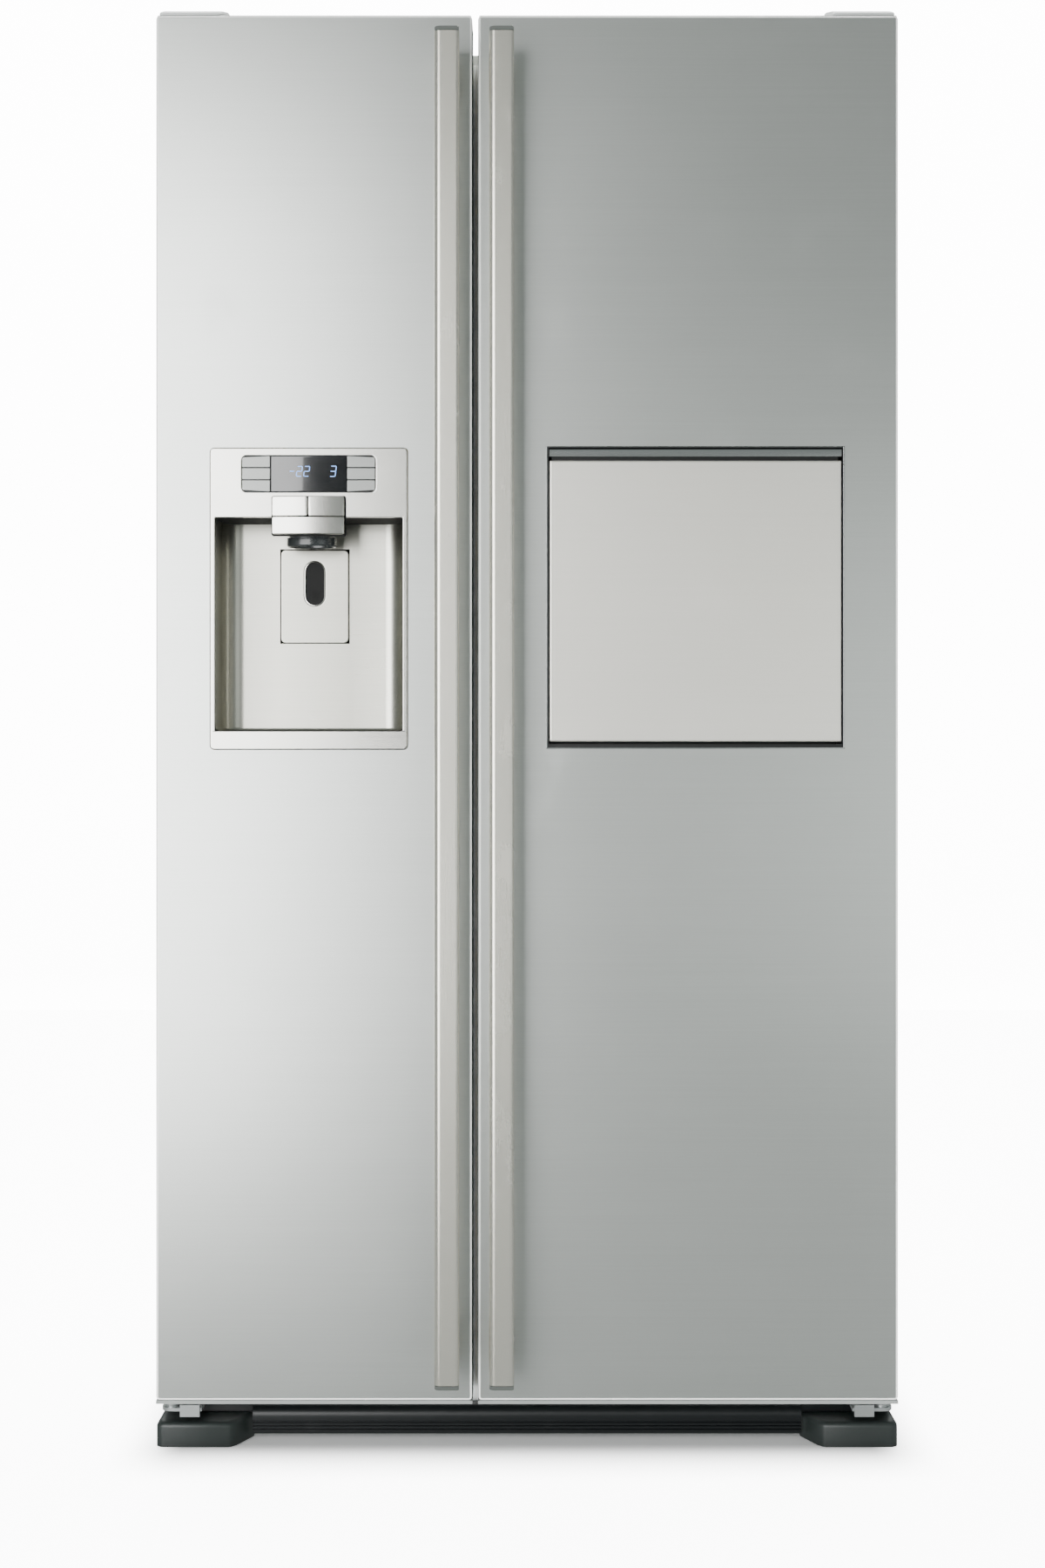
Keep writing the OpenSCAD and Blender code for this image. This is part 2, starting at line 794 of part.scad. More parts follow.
module condenser() {
    color("dimgray")
        finned_coil([-360, room_y + 30, base_z + 20], [-120, back_y - 40, base_z + 180], 6, 5, 12);
}

condenser_fan_x = -20;
module condenser_fan() {
    color("dimgray")
        fan(condenser_fan_x, back_y - 105, base_z + 110, 70, 5);
}

// Pressed cover of the compressor room, with air slots
module compressor_cover() {
    x1 = half_w - flange - seat;
    top = room_z + 2 - seat;
    color("gray") along_y(back_y - sheet, back_y - 0.2) difference() {
        plate([-x1, base_z + seat], [x1, top]);
        for (row = [0:2], i = [0:17]) {
            x = -x1 + 60 + i * (2 * x1 - 160) / 17;
            plate([x, base_z + 40 + row * 80], [x + 8, base_z + 100 + row * 80]);
        }
        plate([inlet_x - 14 - seat, inlet_z - seat], [inlet_x + 14 + seat, inlet_z + 28 + seat]);
    }
}

// Socket block through which the mains lead enters, low at one side of the back
inlet_x = fridge_x1 - 20;
inlet_z = base_z + 6;
module cord_inlet() {
    color("black") difference() {
        block([inlet_x - 14, back_y - 34, inlet_z], [inlet_x + 14, back_y - 0.4, inlet_z + 28]);
        along_y(back_y - 24, back_y) translate([inlet_x, inlet_z + 14]) circle(5);
    }
}

// Axle with a roller on each end, under the back of the base
module rear_rollers() {
    x1 = roller_x + roller_w / 2 + 6;
    color("dimgray") {
        along_x(-x1, x1) translate([roller_y, roller_r]) circle(axle_r);
        both_sides() along_x(roller_x - roller_w / 2, roller_x + roller_w / 2)
            translate([roller_y, roller_r]) circle(roller_r);
    }
}

// ---------- Doors ----------

// The space inside a door's skin as seen from above, back to y1
module inside_skin(x0, x1, y1) {
    corner = door_bevel + sheet / 2;
    polygon([
        [x0 + sheet, y1], [x0 + sheet, door_y0 + corner], [x0 + corner, door_y0 + sheet],
        [x1 - corner, door_y0 + sheet], [x1 - sheet, door_y0 + corner], [x1 - sheet, y1]
    ]);
}

// Sheet steel over the front and round both sides of a door
module door_skin(x0, x1) {
    along_z(door_z0 + cap_lip, door_z1) difference() {
        polygon([
            [x0, door_y1], [x0, door_y0 + door_bevel], [x0 + door_bevel, door_y0],
            [x1 - door_bevel, door_y0], [x1, door_y0 + door_bevel], [x1, door_y1]
        ]);
        inside_skin(x0, x1, door_y1 + 1);
    }
}

// Foam core of a door between its end caps, as the solids round an opening that
// is given by two corners in X and Z
module door_foam(x0, x1, hole_a, hole_b) {
    y0 = door_y0 + sheet;
    z0 = door_z0 + cap_t;
    z1 = door_z1 - cap_t;
    for (side = [[x0, hole_a[0]], [hole_b[0], x1]]) {
        along_z(z0, z1) intersection() {
            inside_skin(x0, x1, liner_y0);
            plate([side[0], door_y0], [side[1], liner_y0]);
        }
    }
    block([hole_a[0] + seat, y0, z0], [hole_b[0] - seat, liner_y0, hole_a[1]]);
    block([hole_a[0] + seat, y0, hole_b[1]], [hole_b[0] - seat, liner_y0, z1]);
}

// Plastic end caps of a door, with the bores that turn on the hinge pins
module door_caps(x0, x1, x_pin) {
    difference() {
        union() {
            along_z(door_z0 + cap_lip, door_z0 + cap_t) inside_skin(x0, x1, door_y1);
            block([x0, door_y0, door_z0], [x1, door_y1, door_z0 + cap_lip]);
            along_z(door_z1 - cap_t, door_z1) inside_skin(x0, x1, door_y1);
        }
        for (z = [door_z0 - 1, door_z1 - cap_t - 1]) {
            along_z(z, z + cap_t + 2) translate([x_pin, pin_y]) circle(pin_r + pin_fit);
        }
    }
}

// Magnetic seal round the back of a door
module door_gasket(x0, x1) {
    along_y(door_y1, gasket_y1) difference() {
        plate([x0, door_z0 + 22], [x1, case_top - 14]);
        plate([x0 + gasket_w, door_z0 + 22 + gasket_w], [x1 - gasket_w, case_top - 14 - gasket_w]);
    }
}

// Inner panel of a door: flat rim, raised plug, and two ribs for the bins
module door_liner(x0, x1, plug_x0, plug_x1) {
    plug_z0 = cav_z0 + 14;
    plug_z1 = cav_z1 - 14;
    block([x0, liner_y0, door_z0 + cap_t], [x1, door_y1, door_z1 - cap_t]);
    difference() {
        block([plug_x0, door_y1 - 0.1, plug_z0], [plug_x1, plug_y1, plug_z1]);
        block([plug_x0 + 2, door_y1 - 1, plug_z0 + 2], [plug_x1 - 2, plug_y1 - 2, plug_z1 - 2]);
    }
    for (x = [plug_x0, plug_x1 - rib_w]) {
        block([x, plug_y1 - 0.1, rib_z], [x + rib_w, rib_y1, plug_z1]);
    }
}

// Open bins that hang between the ribs of a door liner
module door_bins(plug_x0, plug_x1, heights) {
    for (z = heights) {
        tub([plug_x0 + rib_w + slip, plug_y1 + slip, z],
            [plug_x1 - rib_w - slip, bin_y1, z + bin_h], tub_t);
    }
}

// Bar handle with a stand-off at each end; its outer front edge is rounded
module handle(x) {
    z0 = door_z0 + handle_end;
    z1 = door_z1 - handle_end;
    x0 = x - handle_w / 2;
    x1 = x + handle_w / 2;
    y1 = handle_y0 + handle_t;
    along_z(z0, z1) {
        polygon([
            [x0, handle_y0 + handle_r], [x0, y1], [x1, y1], [x1, handle_y0 + 3],
            [x1 - 3, handle_y0], [x0 + handle_r, handle_y0]
        ]);
        translate([x0 + handle_r, handle_y0 + handle_r]) circle(handle_r);
    }
    for (z = [z0 + 6, z1 - 6 - standoff_h]) {
        block([x0 + 4, y1 - 0.1, z], [x1 - 4, door_y0, z + standoff_h]);
    }
}

// ---------- Freezer door ----------

freezer_plug_x0 = freezer_x0 + plug_in;
freezer_plug_x1 = freezer_x1 - plug_free;
fridge_plug_x0 = fridge_x0 + plug_free;
fridge_plug_x1 = fridge_x1 - plug_in;

module freezer_door_skin() {
    color("lightgray") difference() {
        door_skin(-half_w, freezer_door_x1);
        block([disp_x0 - disp_gap, door_y0 - 1, disp_z0 - disp_gap],
            [disp_x1 + disp_gap, door_y0 + sheet + 1, disp_z1 + disp_gap]);
    }
}

module freezer_door_foam() {
    chute_half = chute_r + 3;
    behind_y0 = bezel_y1 + 10;
    behind_z0 = recess_z1 + recess_t + seat;
    color("khaki") {
        door_foam(-half_w, freezer_door_x1,
            [disp_x0 - disp_gap, disp_z0 - disp_gap], [disp_x1 + disp_gap, chute_top + 1]);
        block([disp_x0, behind_y0, behind_z0], [disp_x - chute_half, liner_y0, chute_top]);
        block([disp_x + chute_half, behind_y0, behind_z0], [disp_x1, liner_y0, chute_top]);
    }
}

module freezer_door_caps() {
    color("dimgray") door_caps(-half_w, freezer_door_x1, -pin_x);
}

// The liner carries a deep box behind the dispenser, with the chute's mouth in it
module freezer_door_liner() {
    bulge_x0 = disp_x0 - 3;
    bulge_x1 = disp_x1 + 3;
    bulge_z0 = disp_z0 - 6;
    t = 2;
    color("white") difference() {
        union() {
            door_liner(-half_w + 14, freezer_door_x1 - 4, freezer_plug_x0, freezer_plug_x1);
            block([bulge_x0, door_y1 - 0.1, bulge_z0], [bulge_x1, bulge_y1, bulge_z1]);
        }
        block([bulge_x0 + t, liner_y0 - 1, bulge_z0 + t], [bulge_x1 - t, bulge_y1 - t, bulge_z1 - t]);
        along_y(bulge_y1 - t - 1, bulge_y1 + 1)
            plate([disp_x - chute_r, mouth_z0], [disp_x + chute_r, chute_top - 2]);
    }
}

module freezer_gasket() {
    color("dimgray") door_gasket(-pin_x + 2, gap_x - 7);
}

module freezer_handle() {
    color("silver") handle(gap_x - handle_x);
}

module freezer_door_bins() {
    color("aliceblue", 0.7) door_bins(freezer_plug_x0, freezer_plug_x1, freezer_bins);
}

// A block over the recess with a slightly bowed front; x is from the dispenser's middle
module bowed(x0, x1, z0, z1, y1) {
    bow = 3;
    w = buttons_w / 2;
    r = (w * w + bow * bow) / (2 * bow);
    intersection() {
        block([disp_x + x0, button_y0, z0], [disp_x + x1, y1, z1]);
        along_z(z0 - 1, z1 + 1) translate([disp_x, button_y0 + r]) circle(r, $fn = 180);
    }
}

// Brushed panel round the recess, with the key field cut out of it and the
// fixed chute cover below the press buttons
module dispenser_bezel() {
    corner = 5;
    color("silver") {
        along_y(bezel_y0, bezel_y1) difference() {
            round_plate([disp_x0, disp_z0], [disp_x1, disp_z1], corner);
            plate([recess_x0, recess_z0], [recess_x1, recess_z1]);
            round_plate([disp_x - field_w / 2, field_z0], [disp_x + field_w / 2, field_z1], field_r);
        }
        block([disp_x - buttons_w / 2 + 3, mount_y0, cover_z0],
            [disp_x + buttons_w / 2 - 3, bezel_y1, buttons_z1 - 3]);
        bowed(-buttons_w / 2, buttons_w / 2, cover_z0, buttons_z0 - key_gap, mount_y0 + 0.1);
    }
}

// The recess seen from above: straight sides that curve into the back
module recess_outline(t) {
    y0 = bezel_y1 + seat - (t > 0 ? 0 : 10);
    r = recess_r;
    x0 = recess_x0 - t;
    x1 = recess_x1 + t;
    y1 = recess_y1 + t;
    plate([x0, y0], [x1, y1 - r]);
    plate([x0 + r, y0], [x1 - r, y1]);
    for (x = [x0 + r, x1 - r]) {
        translate([x, y1 - r]) circle(r);
    }
}

// Moulded recess with the pocket that the lever pad swings into
module dispenser_recess() {
    px = lever_w / 2 + 1.5;
    color("silver") difference() {
        union() {
            along_z(recess_z0 - recess_t, recess_z1 + recess_t) recess_outline(recess_t);
            block([disp_x - px - 2, recess_y1, lever_z0 - 3], [disp_x + px + 2, pocket_y1 + 2, lever_z1 + 3]);
        }
        along_z(recess_z0, recess_z1) recess_outline(0);
        block([disp_x - px, recess_y1 - 1, lever_z0 - 1], [disp_x + px, pocket_y1, lever_z1 + 1]);
        along_z(recess_z1 - 1, recess_z1 + recess_t + 1) translate([disp_x, chute_y]) circle(chute_r);
        along_x(disp_x - px - 1.6, disp_x + px + 1.6)
            translate([lever_pin_y, lever_pin_z]) circle(lever_pin_r + pin_fit);
    }
}

// Dark window between the keys, on the board that reads the keys
module dispenser_display() {
    window_w = field_w - 2 * key_w - 4 * key_gap;
    color("black") {
        block([disp_x - window_w / 2, bezel_y0 - 0.5, field_z0 + 0.5],
            [disp_x + window_w / 2, board_y0 + 1, field_z1 - 0.5]);
        block([disp_x - field_w / 2, board_y0, field_z0], [disp_x + field_w / 2, board_y0 + 2, field_z1]);
    }
}

// Duct from the mouth in the door liner down to the funnel over the recess
module ice_chute() {
    r = chute_r;
    t = 2;
    y0 = chute_y - r - t;
    y1 = bulge_y1 - 2.4;
    color("dimgray") difference() {
        union() {
            block([disp_x - r - t, y0, recess_z1 + recess_t + seat], [disp_x + r + t, chute_y + r + t, chute_top]);
            block([disp_x - r - t, y0, mouth_z0 - t], [disp_x + r + t, y1, chute_top]);
            translate([disp_x, chute_y, recess_z1 - 22]) rotate_extrude()
                polygon([[0, 0], [funnel_r - 5, 0], [funnel_r - 4, 2], [funnel_r, 21.8], [0, 21.8]]);
            along_z(recess_z1 - 1, recess_z1 + recess_t + 1)
                translate([disp_x, chute_y]) circle(chute_r - 0.2);
        }
        along_z(recess_z1 - 23, recess_z1 + recess_t + 2)
            translate([disp_x, chute_y]) circle(chute_r - 2);
        block([disp_x - r, chute_y - r, recess_z1 + recess_t + 1], [disp_x + r, chute_y + r, chute_top - t]);
        block([disp_x - r, chute_y, mouth_z0], [disp_x + r, y1 + 1, chute_top - t]);
    }
}

// One key; side is -1 for the left column and 1 for the right, row counts from the top
module key(side, row) {
    x = disp_x + side * (field_w - key_w) / 2;
    z1 = field_z1 - row * key_pitch;
    y0 = bezel_y0 - 1.2;
    color("gray") intersection() {
        block([x - key_w / 2 + key_gap, y0, z1 - key_pitch + key_gap],
            [x + key_w / 2 - key_gap, board_y0 - key_travel - 0.2, z1 - key_gap]);
        along_y(y0 - 1, board_y0)
            round_plate([disp_x - field_w / 2 + key_gap, field_z0 + key_gap],
                [disp_x + field_w / 2 - key_gap, field_z1 - key_gap], field_r);
    }
}

module key_left_top() {
    key(-1, 0);
}

module key_left_middle() {
    key(-1, 1);
}

module key_left_low() {
    key(-1, 2);
}

module key_right_top() {
    key(1, 0);
}

module key_right_middle() {
    key(1, 1);
}

module key_right_low() {
    key(1, 2);
}

// Two metal-faced buttons over the chute cover
module press_button_left() {
    color("silver") bowed(-buttons_w / 2, -key_gap, buttons_z0, buttons_z1, button_y1);
}

module press_button_right() {
    color("silver") bowed(key_gap, buttons_w / 2, buttons_z0, buttons_z1, button_y1);
}

// Pad that a glass pushes back to call for ice or water
module dispenser_lever() {
    r = 6;
    slot_r = 13.2;
    slot_z1 = lever_z1 - 14;
    slot_z0 = slot_z1 - 57;
    x0 = disp_x - lever_w / 2;
    x1 = disp_x + lever_w / 2;
    color("silver") {
        along_y(lever_y0, lever_y0 + lever_t) difference() {
            round_plate([x0, lever_z0], [x1, lever_z1], r);
            plate([disp_x - slot_r, slot_z0 + slot_r], [disp_x + slot_r, slot_z1 - slot_r]);
            for (z = [slot_z0 + slot_r, slot_z1 - slot_r]) {
                translate([disp_x, z]) circle(slot_r);
            }
        }
        block([x0 + 2, lever_y0 + lever_t - 0.1, lever_pin_z - 2.5],
            [x1 - 2, lever_pin_y + 2.5, lever_pin_z + 2.5]);
        along_x(x0 - 1.2 - 1.5, x1 + 1.2 + 1.5) translate([lever_pin_y, lever_pin_z]) circle(lever_pin_r);
    }
}

// ---------- Fridge door ----------

module fridge_door_skin() {
    color("lightgray") difference() {
        door_skin(fridge_door_x0, half_w);
        block([bar_x0 - seat, door_y0 - 1, bar_z0 - seat], [bar_x1 + seat, door_y0 + sheet + 1, bar_z1 + seat]);
    }
}

module fridge_door_foam() {
    color("khaki") door_foam(fridge_door_x0, half_w,
        [bar_x0 - seat, bar_z0 - seat], [bar_x1 + seat, bar_z1 + seat]);
}

module fridge_door_caps() {
    color("dimgray") door_caps(fridge_door_x0, half_w, pin_x);
}

module fridge_door_liner() {
    color("white") difference() {
        door_liner(fridge_door_x0 + 4, half_w - 14, fridge_plug_x0, fridge_plug_x1);
        block([bar_x0 - seat, liner_y0 - 1, bar_z0 - seat], [bar_x1 + seat, rib_y1 + 1, bar_z1 + seat]);
    }
}

module fridge_gasket() {
    color("dimgray") door_gasket(gap_x + 7, pin_x - 2);
}

module fridge_handle() {
    color("silver") handle(gap_x + handle_x);
}

module fridge_door_bins() {
    color("aliceblue", 0.7) door_bins(fridge_plug_x0, fridge_plug_x1, fridge_bins);
}

// Frame round the flap with the case behind it, moulded in one piece
module home_bar_frame() {
    opening_z0 = flap_pin_z - 7.2;
    opening_z1 = bar_z1 - 2;
    pocket_in = 16;
    color("dimgray") difference() {
        union() {
            block([bar_x0, door_y0, bar_z0], [bar_x1, door_y1 + 2, bar_z1]);
            block([bar_x0 + pocket_in - case_wall, door_y1, bar_z0 + pocket_in + 4 - case_wall],
                [bar_x1 - pocket_in + case_wall, case_y1, bar_z1 - pocket_in + case_wall]);
        }
        block([bar_x0 + bar_frame_t, door_y0 - 1, opening_z0],
            [bar_x1 - bar_frame_t, flap_y1 + 0.6, opening_z1]);
        block([bar_x0 + pocket_in, flap_y1, bar_z0 + pocket_in + 4],
            [bar_x1 - pocket_in, case_y1 - case_wall, bar_z1 - pocket_in]);
        along_x(bar_x0 + 0.3, bar_x1 - 0.3)
            translate([flap_pin_y, flap_pin_z]) circle(flap_pin_r + pin_fit);
    }
}

// Steel front of the flap, turning on a pin at each lower corner
module flap_panel() {
    color("gainsboro") {
        along_x(flap_x0, flap_x1) polygon([
            [flap_y0, flap_z0 + 1.5], [flap_y0 + 1.5, flap_z0], [flap_y0 + flap_skin_t, flap_z0],
            [flap_y0 + flap_skin_t, flap_panel_z1], [flap_y0 + 1.5, flap_panel_z1],
            [flap_y0, flap_panel_z1 - 1.5]
        ]);
        along_x(flap_x0 - 2.5, flap_x1 + 2.5) translate([flap_pin_y, flap_pin_z]) circle(flap_pin_r);
    }
}

// Insulated back of the flap; open, it serves as a shelf
module flap_core() {
    color("white") block([flap_x0 + 4, flap_y0 + flap_skin_t, flap_z0 + 2],
        [flap_x1 - 4, flap_y1, flap_z1 - 6]);
}

// Grip rail along the flap's upper edge, over the finger groove
module flap_rail() {
    color("silver") {
        block([flap_x0, flap_y0, flap_z1 - rail_h], [flap_x1, flap_y0 + flap_skin_t - seat, flap_z1]);
        block([flap_x0 + 4, flap_y0 + 9, flap_panel_z1 + seat],
            [flap_x1 - 4, flap_y0 + flap_skin_t - seat, flap_z1 - rail_h + 1]);
    }
}

outer_case();
rear_panel();
cabinet_foam();
freezer_liner();
fridge_liner();
base_frame();
kick_plate();
foot_covers();
levelling_legs();
top_hinges();
bottom_hinges();
hinge_covers();
shelf_glasses();
shelf_trims();
evaporator_cover();
evaporator();
ice_maker();
ice_bucket();
compressor();
condenser();
compressor_cover();
cord_inlet();
rear_rollers();
evaporator_fan();
condenser_fan();
ice_auger();
upper_crisper();
lower_crisper();
freezer_drawer();
freezer_door_skin();
freezer_door_foam();
freezer_door_caps();
freezer_door_liner();
freezer_gasket();
freezer_handle();
freezer_door_bins();
dispenser_bezel();
dispenser_recess();
dispenser_display();
ice_chute();
key_left_top();
key_left_middle();
key_left_low();
key_right_top();
key_right_middle();
key_right_low();
press_button_left();
press_button_right();
dispenser_lever();
fridge_door_skin();
fridge_door_foam();
fridge_door_caps();
fridge_door_liner();
fridge_gasket();
fridge_handle();
fridge_door_bins();
home_bar_frame();
flap_panel();
flap_core();
flap_rail();
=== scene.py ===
"""Side by side refrigerator in silver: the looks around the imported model.

Metres, +Z up, the doors face -Y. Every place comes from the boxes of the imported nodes.
"""

import bmesh
import bpy
import numpy as np
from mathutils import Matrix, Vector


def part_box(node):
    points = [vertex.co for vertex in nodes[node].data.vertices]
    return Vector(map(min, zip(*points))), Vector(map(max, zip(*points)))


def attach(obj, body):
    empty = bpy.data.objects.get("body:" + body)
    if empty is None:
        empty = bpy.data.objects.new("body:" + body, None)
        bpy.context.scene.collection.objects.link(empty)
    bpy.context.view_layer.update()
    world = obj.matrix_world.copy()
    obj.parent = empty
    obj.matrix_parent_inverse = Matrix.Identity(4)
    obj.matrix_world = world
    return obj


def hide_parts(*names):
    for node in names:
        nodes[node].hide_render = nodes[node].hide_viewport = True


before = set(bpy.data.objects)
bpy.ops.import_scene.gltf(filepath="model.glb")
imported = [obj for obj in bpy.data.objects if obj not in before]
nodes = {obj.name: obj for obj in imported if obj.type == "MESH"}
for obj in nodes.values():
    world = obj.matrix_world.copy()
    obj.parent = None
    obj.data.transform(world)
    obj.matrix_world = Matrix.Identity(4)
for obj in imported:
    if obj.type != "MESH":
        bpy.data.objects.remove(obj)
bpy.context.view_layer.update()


# ---------------------------------------------------------------- Room and camera
# A large soft box on the left, a weak one on the right, one overhead and one behind
# light the room. A pale sweep under and behind the refrigerator throws light back on it.
# The camera stands in front of the doors at the height of the dispenser.

door_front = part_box("freezer_door_skin")[0][1]
view_distance = 2.4
eye_height = 0.837
view_height = 1.917
view_centre = 0.815
film_width = 36.0

camera = bpy.data.objects.new("camera", bpy.data.cameras.new("camera"))
bpy.context.scene.collection.objects.link(camera)
camera.data.sensor_width = film_width
camera.data.lens = film_width * view_distance / view_height
camera.data.shift_y = (view_centre - eye_height) / view_height
camera.location = (-0.0056, door_front - view_distance, eye_height)
camera.rotation_euler = (np.pi / 2, 0.0, 0.0)
bpy.context.scene.camera = camera


def soft_light(name, place, target, size, power, tint=(1.0, 1.0, 1.0)):
    """Rectangular soft box at place that faces target; size is its width and height."""
    lamp = bpy.data.lights.new(name, "AREA")
    lamp.shape = "RECTANGLE"
    lamp.size, lamp.size_y = size
    lamp.energy = power
    lamp.color = tint
    holder = bpy.data.objects.new(name, lamp)
    bpy.context.scene.collection.objects.link(holder)
    holder.location = place
    look = np.array(target) - np.array(place)
    flat = np.hypot(look[0], look[1])
    holder.rotation_euler = (np.arctan2(flat, -look[2]), 0.0, np.arctan2(look[1], look[0]) - np.pi / 2)


soft_light("left_soft_box", (-1.55, -3.4, 1.2), (-0.2, 0.0, 1.0), (1.9, 2.9), 152.0)
soft_light("right_soft_box", (1.5, -3.4, 0.85), (0.1, 0.0, 0.8), (1.6, 1.5), 8.0, (0.95, 1.0, 0.98))
soft_light("overhead_soft_box", (0.0, 0.5, 3.4), (0.0, 0.1, 0.0), (2.6, 1.8), 120.0)
soft_light("back_fill", (0.0, 3.4, 2.2), (0.0, 0.0, 0.9), (2.6, 1.8), 60.0)

world = bpy.data.worlds.new("studio_air")
bpy.context.scene.world = world
world.use_nodes = True
world.node_tree.nodes["Background"].inputs["Color"].default_value = (0.78, 0.86, 0.83, 1.0)
world.node_tree.nodes["Background"].inputs["Strength"].default_value = 0.30


def shade(red, green, blue):
    """Linear colour of a screen colour from 0 to 255, by the usual 2.2 power."""
    return tuple((np.array([red, green, blue]) / 255.0) ** 2.2)


class Signal:
    """A value inside a material. Arithmetic on it adds the matching Math node."""

    def __init__(self, finish, socket):
        self.finish = finish
        self.socket = socket

    def maths(self, operation, *values):
        """Adds a Math node of the named operation."""
        return self.finish.node("ShaderNodeMath", {"operation": operation}, *values)

    def __add__(self, other):
        return self.maths("ADD", self, other)

    def __radd__(self, other):
        return self.maths("ADD", other, self)

    def __sub__(self, other):
        return self.maths("SUBTRACT", self, other)

    def __rsub__(self, other):
        return self.maths("SUBTRACT", other, self)

    def __mul__(self, other):
        return self.maths("MULTIPLY", self, other)

    def __rmul__(self, other):
        return self.maths("MULTIPLY", other, self)

    def ramp(self, low, high):
        """Rises smoothly from 0 to 1 between low and high."""
        return self.finish.node("ShaderNodeMapRange", {"interpolation_type": "SMOOTHSTEP"}, self, low, high)


class Finish:
    """A material under construction: a Principled shader and the nodes that feed it."""

    def __init__(self, name, colour, roughness, **fixed):
        self.material = bpy.data.materials.new(name)
        self.material.use_nodes = True
        self.tree = self.material.node_tree
        self.shader = self.tree.nodes["Principled BSDF"]
        self.shader.inputs["Base Color"].default_value = (*colour, 1.0)
        self.shader.inputs["Roughness"].default_value = roughness
        for socket, value in fixed.items():
            self.shader.inputs[socket.replace("_", " ")].default_value = value

    def node(self, kind, settings=None, *values, out=0, **named):
        """Adds a node: its settings first, then its sockets by order and by name."""
        made = self.tree.nodes.new(kind)
        for key, value in (settings or {}).items():
            setattr(made, key, value)
        pairs = [(made.inputs[i], v) for i, v in enumerate(values) if v is not None]
        pairs += [(made.inputs[k], v) for k, v in named.items()]
        for socket, value in pairs:
            self.join(value, socket)
        return Signal(self, made.outputs[out])

    def join(self, value, socket):
        """Links a signal to a socket, or sets the socket to a plain value."""
        if isinstance(value, Signal):
            self.tree.links.new(value.socket, socket)
        elif socket.type == "RGBA" and len(value) == 3:
            socket.default_value = (*value, 1.0)
        else:
            socket.default_value = value

    def noise(self, scale, detail=3.0):
        """Cloudy value about 0.5; scale is in cycles per metre along each object axis."""
        spot = self.node("ShaderNodeTexCoord", out=3)
        spot = self.node("ShaderNodeMapping", None, spot, Scale=scale)
        return self.node("ShaderNodeTexNoise", None, spot, Scale=1.0, Detail=detail)

    def axis(self, index):
        """One object coordinate in metres: 0 is X, 1 is Y and 2 is Z."""
        spot = self.node("ShaderNodeTexCoord", out=3)
        return self.node("ShaderNodeSeparateXYZ", None, spot, out=index)

    def blend(self, factor, first, second):
        """Colour that goes from first to second as factor rises."""
        mixed = self.tree.nodes.new("ShaderNodeMix")
        mixed.data_type = "RGBA"
        for index, value in ((0, factor), (6, first), (7, second)):
            self.join(value, mixed.inputs[index])
        return Signal(self, mixed.outputs[2])

    def feed(self, socket, value):
        """Links a signal to one of the shader's inputs."""
        self.tree.links.new(value.socket, self.shader.inputs[socket])

    def bump(self, height, strength, depth):
        """Raises the surface by a height signal times depth in metres."""
        self.feed("Normal", self.node("ShaderNodeBump", None, strength, depth, Height=height))


def grid_mesh(name, grid, close_u=False, close_v=False, caps=False, smooth=True):
    """Mesh from a (nu, nv, 3) array: quad (i, j) joins rows i, i + 1 and columns j, j + 1.

    close_u joins the last row to the first, close_v the last column to the first.
    caps closes the first and the last row with one face each.
    """
    grid = np.asarray(grid, float)
    nu, nv = grid.shape[:2]
    iu = np.arange(nu if close_u else nu - 1)
    iv = np.arange(nv if close_v else nv - 1)
    u, v = np.meshgrid(iu, iv, indexing="ij")
    u2, v2 = (u + 1) % nu, (v + 1) % nv
    quads = np.stack([u * nv + v, u * nv + v2, u2 * nv + v2, u2 * nv + v], -1).reshape(-1, 4)
    faces = quads.tolist()
    if caps:
        faces.append(list(range(nv))[::-1])
        faces.append(list(range((nu - 1) * nv, nu * nv)))
    mesh = bpy.data.meshes.new(name)
    mesh.from_pydata(grid.reshape(-1, 3).tolist(), [], faces)
    mesh.polygons.foreach_set("use_smooth", [smooth] * len(faces))
    mesh.update()
    return mesh


def add(name, mesh, *materials):
    """Puts a mesh into the scene at the origin."""
    piece = bpy.data.objects.new(name, mesh)
    bpy.context.scene.collection.objects.link(piece)
    for material in materials:
        mesh.materials.append(material)
    return piece


def floor_shadow_mask(finish):
    """Smooth mask that is 1 on the floor under the cabinet and 0 around it; it turns the glow off there, a
    painted shadow under the cabinet.
    """
    across, along = finish.axis(0), finish.axis(1)
    beside = across.maths("ABSOLUTE", across).ramp(0.42, 0.52)
    return (1.0 - beside) * along.ramp(-0.42, -0.28) * (1.0 - along.ramp(0.30, 0.42))


def wall_line(start, foot, top, drop):
    """Distance and height of a floor from start that turns up at foot, by a quarter circle, to a wall."""
    turn = np.linspace(0.0, np.pi / 2, 24)
    out = np.concatenate([[start], foot + wall_bend * np.sin(turn), [foot + wall_bend]])
    up = np.concatenate([[0.0], wall_bend * (1.0 - np.cos(turn)), [top]])
    return out, up - drop


